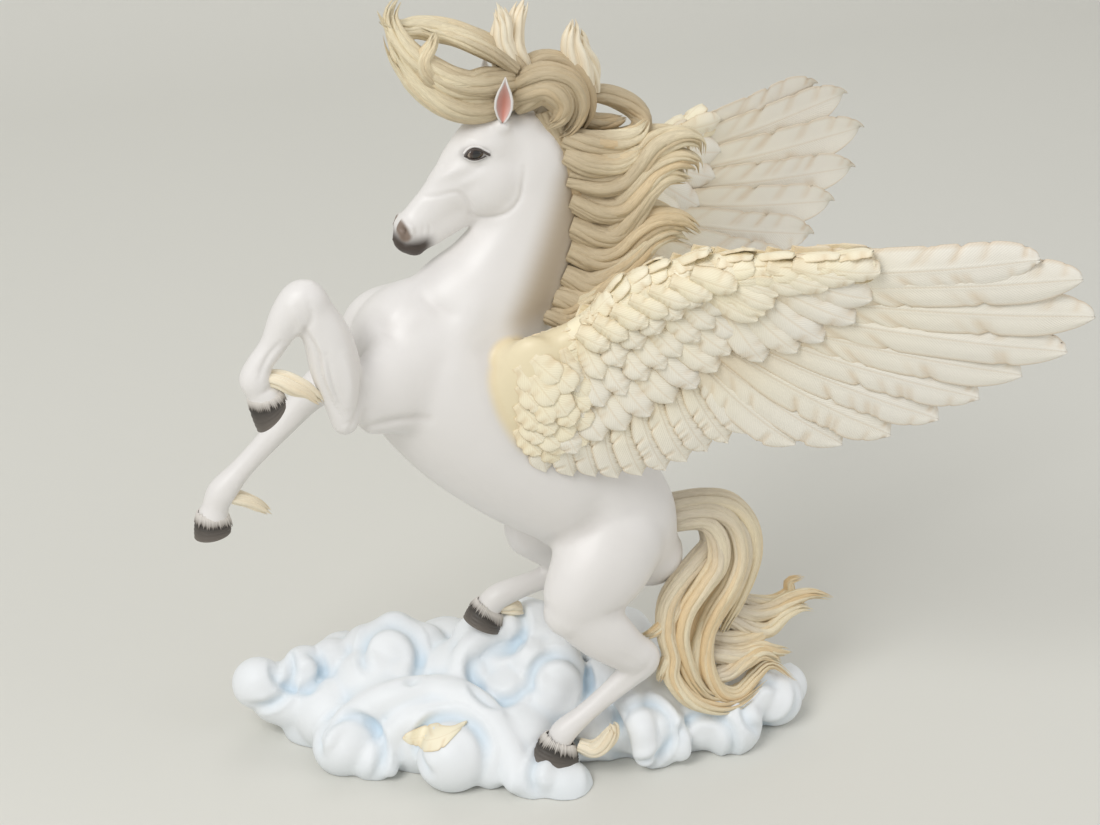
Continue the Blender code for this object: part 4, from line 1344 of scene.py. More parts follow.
@dataclass(frozen=True)
class Blade:
    """One feather of unit length along +X and unit half width, with slanting splits between its barbs."""

    seed: int
    rows: int = 64
    splits: int = 16
    across: tuple[float, ...] = (0.06, 0.13, 0.24, 0.42, 0.62, 0.82, 0.95, 1.0)
    tip: float = 0.2
    point: float = 0.7
    slant: float = 0.15
    thick: float = 0.8
    dome: float = 1.1
    shaft: float = 0.55
    cut: float = 0.5
    notch: float = 0.2
    roll: float = 1.6

    def build(self, name: str) -> Shape:
        """Closed blade with a double-ridged shaft, split vanes and a bowed section.

        Args:
            name: the object's name.

        Returns:
            The object, with the values that the feather's finish reads.
        """
        random = np.random.default_rng(self.seed)
        lanes = np.array([*(-value for value in reversed(self.across)), 0, *self.across])
        step, lane = np.meshgrid(np.linspace(0, 1, self.rows + 1), lanes, indexing="ij")
        spine = 1 - (1 - step) ** 1.25
        away = np.abs(lane)
        x = spine + self.slant * away ** 1.2 * (1 - spine) * np.clip(spine * 5, 0, 1)
        past = np.clip((x - (1 - self.tip)) / self.tip, 0, 1)
        width = (0.55 + 0.45 * ease(x, 0, 0.45)) * np.clip(1 - past ** 2, 0, 1) ** self.point
        split = np.zeros_like(spine)
        for place in random.uniform(0.12, 0.97, self.splits):
            side = random.choice((-1, 1))
            near = np.exp(-((step - place) * self.rows / 1.1) ** 2)
            split = np.maximum(split, random.uniform(0.3, 1.0) * near * ease(lane * side, 0.1, 0.4))
        y = lane * width * (1 - self.notch * split ** 2 * away ** 3)
        vane = 0.30 * np.sin(math.pi * np.clip(away, 0, 1)) ** 2
        ridge = self.shaft * np.exp(-((away - 0.07) / 0.055) ** 2) * (1 - 0.65 * spine)
        relief = vane + ridge - self.cut * split
        middle = self.dome * (1 - lane ** 2) - self.roll * lane - 0.8 * ease(spine, 0.75, 1.0)
        half = self.thick * (1 - 0.6 * lane ** 2) * (1 - 0.5 * ease(spine, 0.6, 1.0))
        front = np.stack([x, y, middle + half + relief], axis=2)
        back = np.stack([x, y, middle - half - 0.6 * relief], axis=2)
        data = sheet(name, front, back)
        # Painted shade in the splits, along the groove of the double shaft and at the vane edges.
        shade = np.clip(0.9 * split + 0.8 * ease(away, 0.82, 1.0) + 0.5 * np.exp(-(away / 0.035) ** 2), 0, 1)
        for label, values in (("share", x), ("aside", lane), ("groove", shade)):
            store(data, label, np.tile(values.ravel(), 2))
        return new_shape(name, data)


@dataclass(frozen=True)
class FeatherRow:
    """Row of overlapping feathers between its line of roots and its line of tips."""

    roots: tuple[Spot, ...]
    tips: tuple[Spot, ...]
    count: int
    half_width: float
    layer: float = 0.0
    bow: float = -0.4
    cream: float = 0.4
    flight: bool = False


FLIGHTS = (
    FeatherRow(((80, 28), (76, 18), (68, 4), (55, -10)),
               ((174, 34), (191, 27), (197, 14), (190, -3), (174, -17), (142, -40), (113, -50), (94, -51)),
               10, 8.6, 0, -1.6, 0.05, True),
    FeatherRow(((56, -10), (40, -22), (22, -28), (1, -27)),
               ((76, -45), (60, -55), (42, -62), (26, -62), (12, -58), (2, -54)), 10, 5.6, 0, -1.4, 0.2, True),
)
COVERTS = (
    FeatherRow(((88, 33), (76, 25), (64, 16)), ((112, 30), (116, 18), (110, 8), (94, -3), (80, -8)),
               6, 6.6, 1.4, -0.6, 0.1),
    FeatherRow(((56, 16), (38, 0), (5, -26)), ((70, 4), (64, -12), (48, -27), (28, -38), (12, -44)),
               9, 5.8, 1.4, -0.6, 0.2),
    FeatherRow(((54, 24), (34, 7), (2, -16)), ((67, 14), (53, -2), (32, -20), (7, -32)), 10, 5.2, 2.4, -0.5, 0.3),
    FeatherRow(((46, 26), (26, 10), (0, -6)), ((56, 20), (38, 3), (22, -13), (4, -22)), 8, 5.0, 3.4, -0.5, 0.45),
    FeatherRow(((60, 33), (76, 33), (96, 34)), ((84, 22), (100, 26), (118, 33)), 5, 5.0, 2.4, -0.4, 0.5),
    FeatherRow(((54, 26), (60, 29)), ((76, 12), (82, 18)), 3, 5.0, 3.0, -0.4, 0.6),
    FeatherRow(((12, 6), (32, 22), (52, 32)), ((24, 0), (44, 16), (68, 27)), 7, 4.6, 4.2, -0.3, 0.7),
)


def by_name(feathers: list[tuple]) -> dict[str, np.ndarray]:
    """Places, turns, sizes, bows, creams and picks of feathers, as arrays."""
    keys = ("place", "turn", "size", "bow", "cream", "pick")
    return {key: np.array(column, float) for key, column in zip(keys, zip(*feathers))}


@dataclass
class Wing:
    """One wing, planned on its own grid: out along the wing, up, and off its sheet."""

    side: Side
    root: Place = (-11.0, 28.0, 200.0)
    spread: float = 19.7
    lean: float = 13.0
    far_raise: float = 2.5
    bulge: float = 13.0
    step: float = 1.5
    edge: tuple[Spot, ...] = ((-12, -6), (0, -2), (13, 4), (24, 15), (34, 24), (55, 31), (78, 32), (104, 33))
    arm_radius: float = 6.5
    pad: tuple[Spot, Place] = ((-4, -24), (15, 27, 8))

    def axes(self) -> tuple[np.ndarray, np.ndarray, np.ndarray, np.ndarray]:
        """Root, directions out and up, and the normal of the wing's plane."""
        spread, lean = math.radians(self.spread), math.radians(self.lean)
        way = self.side.value
        lift = math.radians(self.far_raise) if self.side is Side.FAR else 0.0
        out = np.array((math.cos(spread), math.sin(spread) * way, 0))
        sideways = np.array((-math.sin(spread), math.cos(spread) * way, 0))
        up = sideways * math.sin(lean) + np.array((0, 0, math.cos(lean)))
        normal = sideways * math.cos(lean) - np.array((0, 0, math.sin(lean)))
        root = np.array((self.root[0], self.root[1] * way, self.root[2]))
        return (root, out * math.cos(lift) + up * math.sin(lift),
                up * math.cos(lift) - out * math.sin(lift), normal)

    def bend(self, places: np.ndarray) -> np.ndarray:
        """World places of points on the wing's grid."""
        root, out, up, normal = self.axes()
        raised = places[:, 2] + self.lift(places[:, 0], places[:, 1])
        return root + places[:, :1] * out + places[:, 1:2] * up + raised[:, None] * normal

    def lift(self, run: np.ndarray, rise: np.ndarray) -> np.ndarray:
        """How far the wing bulges out over the ribs at a place on its grid."""
        return self.bulge * np.clip(-rise / 45, 0, 1) * np.clip(1 - run / 60, 0, 1)

    def settle(self, shape: Shape) -> Shape:
        """Move a piece from the wing's grid to its place, with its faces outward."""
        shape.data.vertices.foreach_set("co", (self.bend(read(shape.data.vertices, "co", 3)) * MM).ravel())
        shape.data.update()
        turn_outward(shape.data)
        return shape

    def seeds(self, rows: tuple[FeatherRow, ...], kinds: int, seed: int, faces: tuple[int, ...]) -> dict:
        """Where each feather grows and how it lies.

        Args:
            rows: the rows of feathers.
            kinds: how many blades there are to pick from.
            seed: fixed start of the random draws.
            faces: 1 for the outer face of the wing and -1 for the inner one.

        Returns:
            Arrays of places, turns, sizes, bows, creams and picks.
        """
        random = np.random.default_rng(seed)
        found = []
        for row in rows:
            for face in faces:
                for root, tip in zip(along(row.roots, row.count), along(row.tips, row.count)):
                    run = tip - root + random.normal(0, 0.5, 2)
                    height = face * row.layer * self.step + random.normal(0, 0.12)
                    length = np.linalg.norm(run)
                    pitch = -face * math.atan2(1.0 + 0.25 * row.layer, length) * (not row.flight)
                    found.append((
                        (*root, height), (0.0 if face > 0 else math.pi, pitch * face, math.atan2(run[1], run[0])),
                        (length, row.half_width * random.uniform(0.95, 1.08), 1.0), row.bow,
                        np.clip(row.cream + random.normal(0, 0.06), 0, 1), random.integers(0, kinds)))
        return by_name(found)

    def plant(self, name: str, seeds: dict, tree: NodeTree, blades: bpy.types.Collection,
              finish: Material) -> Shape:
        """Grow feathers on their seeds and bend them to the wing.

        Args:
            name: the piece's name.
            seeds: where each feather grows, as seeds gives it.
            tree: the feathers' geometry tree.
            blades: the blades to pick from.
            finish: the feathers' finish.

        Returns:
            The piece.
        """
        shape = point_mesh(name, seeds["place"], {
            "bow": seeds["bow"], "hue": seeds["cream"], "span": seeds["size"][:, 0], "breadth": seeds["size"][:, 1],
        }, seeds["pick"], {"turn": seeds["turn"], "size": seeds["size"]})
        run_tree(shape, tree, {"Blades": blades, "Bow Scale": 1.0, "Finish": finish})
        data = shape.data
        share, aside, hue, span, breadth = (kept(data, name) for name in ("share", "aside", "hue", "span", "breadth"))
        store(data, "cream", np.clip(hue + 0.45 * (1 - ease(share, 0.1, 0.8)), 0, 1))
        # Tan painted shade at each feather's root, where the next row covers it; the far wing is tan towards its root
        # as well.
        root = 1 - ease(read(data.vertices, "co", 3)[:, 0], 15, 75)
        inner = 0.8 * root * (self.side is Side.FAR)
        store(data, "tan", np.clip((1 - ease(share, 0.0, 0.4)) * (0.6 - 0.4 * hue) + inner, 0, 1))
        store(data, "reach", share * span)
        store(data, "offset", aside * breadth)
        return self.settle(shape)

    def arm_rows(self) -> np.ndarray:
        """Centres and radii of the leading edge, from the shoulder outward."""
        spots = along(self.edge, 26)
        radii = self.arm_radius * (1 - 0.62 * np.linspace(0, 1, len(spots)) ** 2)
        rows = np.column_stack([spots[:, 0], spots[:, 1] - 0.7 * radii, np.zeros(len(spots))])
        return np.column_stack([self.bend(rows), radii, radii])

    def pad_height(self, run: float, rise: float) -> float:
        """Height of the shoulder pad off the wing's grid, or below zero beside the pad."""
        (pad_run, pad_rise), (half, tall, thick) = self.pad
        inside = 1 - ((run - pad_run) / half) ** 2 - ((rise - pad_rise) / tall) ** 2
        return self.lift(pad_run, pad_rise) - self.lift(run, rise) + thick * math.sqrt(max(inside, 0))

    def shoulder(self, clay: Clay) -> None:
        """Add the pad and the root of the leading edge to the horse's forms."""
        _, out, up, normal = self.axes()
        clay.loft(self.arm_rows()[:9], sides=28, per_span=1)
        spot, sizes = self.pad
        centre = self.bend(np.array([(*spot, 0.0)]))[0]
        turn = Matrix(np.column_stack([out, up, normal]).tolist()).to_4x4()
        clay.ball(tuple(centre), sizes, turn=turn)

    def root_mask(self, places: np.ndarray) -> np.ndarray:
        """How far each of the places lies on the cream pad or the root of the leading edge."""
        _, out, up, normal = self.axes()
        spot, sizes = self.pad
        gap = places - self.bend(np.array([(*spot, 0.0)]))[0]
        inside = np.linalg.norm(gap @ np.column_stack([out, up, normal]) / np.array(sizes), axis=1)
        mask = 1 - ease(inside, 1.02, 1.3)
        for row in self.arm_rows()[:9]:
            reach = np.linalg.norm(places - row[:3], axis=1)
            mask = np.maximum(mask, 1 - ease(reach, row[3] + 0.5, row[3] + 3.5))
        return mask * (places[:, 1] * self.side.value > 8)

    def arm(self) -> Shape:
        """Leading edge beyond the shoulder."""
        clay = Clay()
        clay.loft(self.arm_rows()[5:], sides=28, per_span=1)
        shape = clay.pressed(f"wing_arm_{self.side.name.lower()}", 0.9)
        skin = Skin(shape.data)
        skin.relax(2)
        skin.normals()
        # Tan painted shade where the arm's skin lies in a hollow.
        skin.keep("fold", skin.hollows(10, 1.0))
        return shape

    def scale_seeds(self, kinds: int, seed: int) -> dict:
        """Small pointed feathers that clothe the arm, its upper edge and the shoulder pad."""
        random = np.random.default_rng(seed)
        found = []
        count = 19
        spots = along(self.edge, count + 2)
        share = np.linspace(0, 1, count + 2)
        for index in range(1, count + 1):
            radius = self.arm_radius * (1 - 0.62 * share[index] ** 2)
            run = spots[min(index + 1, count + 1)] - spots[index - 1]
            heading = math.atan2(run[1], run[0])
            middle = spots[index] - (0, 0.7 * radius)
            low = 1 - ease(share[index], 0.15, 0.42)
            for angle in (-60, -24, 12, 48, 84, 120, 156, 192, 226):
                if low > 0.3 and not -30 < angle < 130:
                    continue
                turn = math.radians(angle + random.uniform(-7, 7) + (18 if index % 2 else 0))
                across = np.array((-math.sin(heading), math.cos(heading)))
                spot = middle + across * radius * math.sin(turn) * (0.86 - 0.12 * low)
                flare = 0.26 * (1 - low) if 60 < angle < 125 and index % 2 else 0.0
                found.append((
                    (*spot, radius * math.cos(turn) * (0.86 - 0.12 * low)),
                    (-turn, -0.12 - 0.3 * flare, heading + flare + random.normal(0, 0.07)),
                    (8 + 12 * share[index] + random.uniform(-1, 2), 3.4 + random.uniform(0, 1.2), 0.8 - 0.25 * low),
                    0.0, random.uniform(0.8, 1.0), random.integers(0, kinds)))
        for column in range(1, 6):
            for row in range(7):
                run = -15 + 5.6 * column + random.normal(0, 0.5)
                rise = -3 - 7 * row - 3.5 * (column % 2) + random.normal(0, 0.5)
                height = self.pad_height(run, rise)
                if height > 1.0:
                    found.append((
                        (run, rise, height - 1.0), (0.0, -0.03, math.radians(-50) + random.normal(0, 0.1)),
                        (random.uniform(12, 14), random.uniform(4.6, 5.4), 0.5),
                        0.0, random.uniform(0.75, 0.95), random.integers(0, kinds)))
        return by_name(found)


@dataclass
class CloudBank:
    """Bank of swirling clouds under the horse, cut flat where it stands."""

    grain: float = 1.1
    core: tuple[tuple[Place, Place], ...] = (
        ((-2, 18, 4), (74, 34, 20)), ((-64, 40, 4), (40, 20, 21)), ((50, 0, 3), (52, 24, 12)))
    puffs: tuple[tuple[float, ...], ...] = (
        (-112, 46, 24, 11), (-92, 48, 27, 9), (-98, 44, 15, 13), (-80, 50, 27, 9), (-54, 44, 24, 20),
        (-53, 48, 35, 10), (-65, 50, 31, 9), (-42, 42, 32, 9), (-84, 13, 9, 13), (-85, 32, 12, 15),
        (-45, -12, 12, 15), (-52, 7, 11, 16), (-33, 3, 14, 15), (-57, 28, 15, 20), (-12, 21, 26, 17),
        (-22, 27, 38, 12), (0, 22, 46, 10), (-10, 26, 40, 11), (16, 22, 38, 11), (0, 4, 23, 17),
        (5, 3, 33, 11), (-3, -28, -2, 12), (-15, -25, 4, 11), (-16, -7, 12, 16), (39, -12, 13, 18),
        (36, -8, 24, 12), (38, -22, 7, 11), (60, -14, 13, 16), (71, -21, 9, 14), (95, -12, 11, 12),
        (83, -10, 17, 13), (27, 2, 20, 15), (20, -10, 8, 12), (-31, -18, 6, 8), (-74, 4, 5, 9),
        (-30, 50, 17, 18), (-12, 56, 7, 13), (4, 48, 24, 16), (24, 50, 11, 17), (44, 38, 20, 15),
        (58, 30, 8, 17), (72, 18, 17, 14), (88, 12, 9, 15), (-54, 62, 10, 14), (-74, 58, 22, 11),
        (-90, 56, 14, 12), (104, -2, 9, 10), (-103, 46, 17, 13), (-66, 34, 20, 17), (-12, 8, 16, 20),
        (12, -8, 12, 15), (-64, 22, 16, 17), (-30, 24, 20, 20), (-4, 9, 37, 9.5), (6, 8, 38, 9),
    )
    swirls: tuple[tuple[float, ...], ...] = (
        (-61.6, 30, 37.4, 8.5, 8.5, 300, 0.95), (-17.3, 6.1, 35.9, 10, 8.5, 200, 0.55),
        (-0.8, -8.9, 34.6, 9, 8, 320, 0.9), (-51.4, -23.9, 21.3, 10, 9, 290, 0.8),
        (-86.2, 1.4, 14.4, 10.5, 8, 330, 0.8), (-112.1, 39.4, 33.4, 10, 8, 60, 0.7),
        (-94, 40.2, 31.7, 5.5, 7.5, 80, 1.1), (-7.8, -34.3, 7.8, 9, 8, 300, 0.8),
        (29.7, -26.5, 18.7, 8, 8, 330, 1.1), (55.4, -30.3, 9, 9, 8, 340, 0.9),
        (86.7, -24.4, 18.3, 7, 7.5, 150, -1.1), (-15, 20.2, 50.1, 6.5, 8, 20, 0.8),
    )
    back_swirls: tuple[tuple[float, ...], ...] = (
        (-96.3, 65, 18.4, 8, 8, 300, 1.1), (-62.7, 69.7, 17.3, 9, 8.5, 330, 1.3),
        (-28.2, 69.1, 20.5, 9, 8.5, 200, -1.3),
        (6, 63.8, 25.1, 8, 8, 300, 1.2), (39.3, 53.7, 19.3, 9, 8.5, 330, 1.3), (73.8, 33.3, 16.7, 8, 8, 20, -1.1),
        (101.1, 12.9, 15.9, 7, 7.5, 300, 0.9),
    )
    ridges: tuple[tuple[tuple[float, ...], ...], ...] = (
        ((-91, 7, 17, 4), (-80, 15, 20, 6), (-65, 12, 28, 7), (-47, 10, 28.5, 7.5), (-35, 0, 28, 7.5),
         (-27, -12, 22, 7), (-23, -22, 13, 6), (-24, -29, 6, 5)),
        ((-69, -4, 5, 3.5), (-68, 2, 13, 5), (-61, 2, 22, 5.5), (-48, 0, 24.5, 5.5), (-38, -10, 23, 5.5),
         (-32, -19, 15, 5), (-31, -23, 6, 4)),
        ((-34, 2, 26, 3), (-35, 14, 34, 4.5), (-27, 18.5, 43, 5), (-13, 20, 48, 5), (2, 14, 46.5, 4.5),
         (15, 12, 37, 4), (30, 12, 28, 3)),
        ((21, 2, 33, 4), (27, -14, 29, 6), (29.5, -27, 21, 6), (30, -32, 9, 5)),
        ((38, -21, 26, 4), (43, -27, 19, 5.5), (46, -30, 7, 5)),
    )
    view: Place = (-0.28, -0.85, 0.44)
    feather: tuple[Place, Place] = ((-39.0, -12.5, 27.0), (-64.0, -5.0, 19.0))
    feather_width: float = 4.6
    groove_width: float = 2.5
    groove_depth: float = 2.7

    def build(self) -> Shape:
        """Press the puffs and swirls together and cut the underside flat.

        Returns:
            The cloud bank's object.
        """
        clay = Clay()
        for centre, radii in self.core:
            clay.ball(centre, radii)
        for x, y, z, radius in self.puffs:
            clay.ball((x, y, z), (radius, radius, radius))
        for ridge in self.ridges:
            clay.loft(np.array([(x, y, z, width, width) for x, y, z, width in ridge]), 24, 6)
        shape = clay.pressed("cloud_bank", self.grain)
        skin = Skin(shape.data)
        skin.fill_creases(4)
        skin.relax(4)
        # The swirl grooves found here later take part of the blue painted shade.
        blue = np.zeros(len(skin.places))
        for axis, swirls in ((Vector(self.view), self.swirls), (Vector((0.25, 0.72, 0.64)), self.back_swirls)):
            for swirl in swirls:
                blue = np.maximum(blue, self.wind(skin, axis.normalized(), *swirl))
        skin.relax(2)
        skin.normals()
        skin.keep("groove", blue)
        self.cut(shape.data)
        skin = Skin(shape.data)
        groove = kept(shape.data, "groove")
        for _ in range(3):
            groove = skin.around(groove)[:, 0]
        # Blue painted shade in the hollows and, more weakly, in the swirl grooves.
        skin.keep("fold", np.clip(0.7 * skin.hollows(34, 2.4) + 0.28 * groove, 0, 1))
        # Greyer painted shade over the lowest 16 mm, near the floor.
        skin.keep("low", 1 - ease(skin.places[:, 2], 0, 16))
        return shape

    def wind(self, skin: Skin, axis: Vector, x: float, y: float, z: float, dome: float, pitch: float,
             start: float, turns: float) -> np.ndarray:
        """Roll the skin up into a dome with a groove that winds out from it.

        Args:
            skin: the clouds' skin.
            axis: direction from which the swirl is looked at.
            x, y, z: middle of the swirl.
            dome: radius of the dome that the groove leaves.
            pitch: how far the groove gets out in one turn.
            start: angle where the groove starts, in degrees from the left by way of the top.
            turns: how far it winds, negative to the other side.

        Returns:
            How far each point lies in the groove.
        """
        aside = axis.cross(Vector((0, 0, 1))).normalized()
        over = aside.cross(axis)
        gap = skin.places - np.array((x, y, z))
        right, rise, out = (gap @ np.array(way) for way in (aside, over, axis))
        reach = np.hypot(right, rise)
        angle = math.copysign(1, turns) * (np.arctan2(rise, right) - math.radians(start)) / (2 * math.pi)
        angle = angle - np.floor(angle)
        lap = np.clip(np.round((reach - dome) / pitch - angle), 0, 2)
        total = (angle + lap) / abs(turns)
        away = reach - dome - pitch * (angle + lap)
        ends = ease(total, -0.02, 0.15) * (1 - ease(total, 0.75, 1.0))
        facing = np.clip(skin.normals() @ np.array(axis) * 2.0 - 0.2, 0, 1) * (np.abs(out) < 16)
        groove = np.exp(-(away / self.groove_width) ** 2) * ends * facing
        ridge = np.exp(-((np.abs(away) - 0.45 * pitch) / 2.4) ** 2) * ends * facing
        swell = np.exp(-(reach / (0.75 * dome)) ** 2) * facing
        push = self.groove_depth * (0.4 * ridge + 0.45 * swell - groove)
        skin.places = skin.places + skin.normals() * push[:, None]
        return groove

    def loose_feather(self, bank: Shape) -> Shape:
        """Fallen feather that lies moulded on the front puff.

        Args:
            bank: the finished clouds.

        Returns:
            The feather's object.
        """
        tree = BVHTree.FromPolygons((read(bank.data.vertices, "co", 3) / MM).tolist(),
                                    [tuple(face.vertices) for face in bank.data.polygons])
        axis = Vector(self.view).normalized()
        root, tip = (Vector(end) for end in self.feather)
        aside = axis.cross(tip - root).normalized()
        shape = Blade(61, 36, 9, tip=0.45, point=0.6, cut=0.4, roll=0.4).build("loose_feather")
        places = []
        for x, y, z in read(shape.data.vertices, "co", 3):
            narrow = 0.18 + 0.82 * min(x / 0.45, 1)
            spot = root.lerp(tip, x) + aside * (y * narrow * self.feather_width + 2.0 * math.sin(math.pi * x))
            hit = tree.ray_cast(spot + axis * 60, -axis)[0] or spot
            places.append(hit + axis * (0.5 + 0.45 * z))
        shape.data.vertices.foreach_set("co", (np.array(places) * MM).ravel())
        shape.data.update()
        turn_outward(shape.data)
        store(shape.data, "cream", np.full(len(shape.data.vertices), 0.9))
        return shape

    def cut(self, data: Mesh) -> None:
        """Close the clouds with a flat face on the ground plane."""
        mesh = bmesh.new()
        mesh.from_mesh(data)
        parts = mesh.verts[:] + mesh.edges[:] + mesh.faces[:]
        cut = bmesh.ops.bisect_plane(mesh, geom=parts, plane_co=(0, 0, 0), plane_no=(0, 0, 1), clear_inner=True)
        rim = [item for item in cut["geom_cut"] if isinstance(item, bmesh.types.BMEdge)]
        bmesh.ops.triangle_fill(mesh, edges=rim, use_beauty=False, normal=(0, 0, -1))
        bmesh.ops.recalc_face_normals(mesh, faces=mesh.faces)
        mesh.to_mesh(data)
        mesh.free()


FORELOCKS = (
    Lock(((-14, -2, 281), (-27, -4, 279), (-39, -5, 282), (-49, -5, 290), (-57, -5, 300), (-61, -5, 309)), 6, 5.2),
    Lock(((-14, -2, 287), (-28, -5, 288), (-38, -6, 291), (-47, -6, 297), (-55, -6, 305), (-59, -4, 315),
          (-55, -3, 322)), 6, 4.6),
    Lock(((-10, 0, 289), (-19, 1, 297), (-29, 1, 303), (-38, 1, 306.5), (-48, 0, 309), (-55, -3, 310),
          (-61, -5, 313), (-64, -6, 318)), 6, 4.6),
    Lock(((-40, -6, 288), (-47, -8, 294), (-49, -9, 300), (-46, -9, 305), (-44, -9, 310)), 3.2, 3.2),
    Lock(((-14, 4, 283), (-28, 5, 281), (-40, 4, 285), (-49, 3, 292), (-55, 2, 300), (-57, 1, 308)), 5, 4),
    Lock(((-15, -3, 290), (-25, -4, 291), (-34, -7, 290.5), (-41, -8, 292.5), (-48, -7, 298.5), (-53, -5, 306)), 4, 3),
    Lock(((-14, -4, 292), (-23, -5, 299), (-30, -5, 303), (-37, -4, 306), (-44, -3, 308), (-52, -3, 311)), 3.6, 2.6),
    Lock(((-14, 0, 285), (-27, -4, 286), (-38, -6, 288), (-47, -7, 294), (-54, -6, 303)), 4.4, 4),
)
CROWN = (
    Lock(((-12, 0, 284), (-16, 0, 293), (-18, 0, 301), (-18, -1, 309), (-20, -1, 316)), 4, 4.4),
    Lock(((-9, 2, 283), (-11, 2, 291), (-14, 2, 299), (-12, 3, 308), (-8, 4, 316)), 4, 4.4),
    Lock(((14, 4, 278), (12, 4, 288), (9, 4, 297), (10, 4, 306)), 4, 4.4),
    Lock(((19, 8, 277), (18, 8, 285), (14, 6, 294), (12, 5, 302)), 3.6, 3.4),
)
ROLLS = (
    Lock(((-15, -1, 285), (-9, -7, 290), (-3, -9, 291), (5, -9, 287), (9, -8, 278), (6, -7, 269), (0, -6, 265)),
         5, 4),
    Lock(((-14, -2, 281), (-7, -8, 286), (-2, -10, 285), (2, -10, 280), (1, -9, 274), (-4, -8, 270)), 5, 4.4),
    Lock(((-12, 3, 286), (-3, 4, 291), (6, 4, 289), (13, 4, 281), (14, 2, 271), (9, 0, 263)), 7, 4.6),
    Lock(((14, 8, 277), (24, 10, 275), (34, 10, 270), (38, 8, 265), (35, 4, 261), (24, 0, 261), (10, -3, 264)),
         4.4, 3.8),
    Lock(((8, 4, 272), (18, 4, 267), (26, 5, 266), (32, 7, 266)), 5, 3.2),
    Lock(((-14, -2, 278), (-6, -4, 283), (0, -5, 281), (3, -5, 275), (0, -5, 268)), 6, 5),
)
NECK_LOCKS = (
    Lock(((3, -5, 265), (12, -7, 263), (22, -7, 262), (31, -6, 264), (36, -4, 268)), 5.4, 4.6),
    Lock(((4, -5, 259), (12, -8, 256), (22, -8, 255), (30, -8, 258), (36, -8, 261)), 6, 5.2),
    Lock(((5, -5, 250), (16, -8, 247), (24, -9, 248), (30, -9, 253), (37, -9, 260), (47, -8, 262), (55, -7, 259),
          (57, -6, 253)), 6, 5.2),
    Lock(((6, -5, 241), (16, -8, 237), (24, -10, 238), (30, -11, 245), (36, -10, 251), (45, -9, 254),
          (54, -7, 251), (56, -6, 246)), 6, 5.6),
    Lock(((6, -5, 231), (16, -8, 227), (23, -10, 228), (29, -11, 237), (34, -11, 244), (42, -10, 248),
          (52, -8, 245)), 6, 5.6),
    Lock(((5, -6, 222), (15, -9, 218), (23, -11, 221), (29, -12, 228), (37, -12, 232), (48, -10, 230),
          (57, -8, 223)), 6, 5.4),
    Lock(((3, -7, 213), (12, -11, 209), (21, -13, 213), (28, -14, 219), (35, -13, 225), (44, -11, 226),
          (52, -9, 221)), 6, 5.4),
    Lock(((-1, -8, 205), (9, -12, 203), (16, -15, 207), (23, -15, 214), (30, -14, 219)), 6, 5.4),
    Lock(((-6, -10, 199), (2, -13, 198), (9, -16, 204), (17, -17, 211)), 5, 4),
    Lock(((-2, 0, 276), (4, 0, 262), (10, 0, 245), (12, 0, 225), (8, -2, 208), (0, -6, 198)), 8, 7),
)
FAR_DROP = 4
TAIL_LOCKS = (
    Lock(((40, 0, 100), (52, 0, 104), (66, 0, 104), (77, 0, 100), (84, -1, 90), (86, -2, 78), (83, -4, 67),
          (78, -6, 57), (72, -8, 47), (68, -9, 38)), 6.5, 4.2),
    Lock(((40, -2, 97), (52, -3, 101), (65, -4, 101), (74, -5, 95), (77, -8, 82), (73, -11, 71), (66, -13, 61),
          (61, -15, 50), (61, -16, 37), (67, -16, 24), (76, -15, 20), (85, -13, 26), (92, -12, 29),
          (104, -11, 18)), 6, 4.4),
    Lock(((42, -2, 95), (52, -3, 98), (63, -5, 98), (68, -8, 91), (67, -11, 81), (59, -15, 74), (51, -18, 66),
          (48, -20, 56), (50, -21, 44), (55, -21, 32), (63, -20, 23), (74, -18, 20)), 6, 4.4),
    Lock(((50, 2, 98), (63, 2, 96), (67, -2, 86), (59, -8, 81), (51, -13, 77), (44, -17, 70), (42, -20, 59),
          (44, -22, 49), (44, -23, 39), (52, -24, 27), (65, -22, 19), (77, -19, 18), (90, -14, 23)), 5.4, 3.8),
    Lock(((48, 3, 103), (68, 4, 101), (80, 5, 92), (82, 6, 78), (76, 7, 62), (68, 8, 48), (64, 8, 34),
          (70, 6, 24), (82, 4, 24)), 7, 5),
    Lock(((55, -12, 73), (48, -17, 67), (42, -20, 62), (35, -21, 59), (31, -20, 58)), 3.6, 3.2),
    Lock(((47, -21, 52), (41, -23, 45), (38, -24, 38)), 3, 2.6),
    Lock(((78, 0, 58), (88, 1, 52), (100, 4, 48), (107, 5, 51), (107, 5, 56), (114, 5, 57)), 3.6, 2.8),
    Lock(((76, -4, 54), (87, -4, 49), (97, -2, 48), (106, 0, 50), (116, 2, 50), (126, 2, 46)), 4.2, 3.2),
    Lock(((73, -6, 52), (84, -6, 44), (93, -5, 41), (101, -3, 45), (109, -2, 47), (116, -1, 44)), 4.6, 3.4),
    Lock(((66, -8, 45), (79, -8, 41), (90, -6, 41), (99, -4, 44)), 5, 3.6),
    Lock(((62, -12, 40), (76, -12, 36), (87, -10, 36), (96, -8, 32), (104, -6, 29)), 5, 3.6),
    Lock(((60, -14, 31), (71, -14, 30), (79, -14, 34), (88, -12, 35), (98, -10, 27)), 5, 3.6),
    Lock(((64, 0, 100), (75, -1, 94), (78, -3, 82), (73, -6, 68), (63, -10, 54), (56, -14, 40), (60, -14, 28),
          (72, -12, 23)), 8, 7),
)
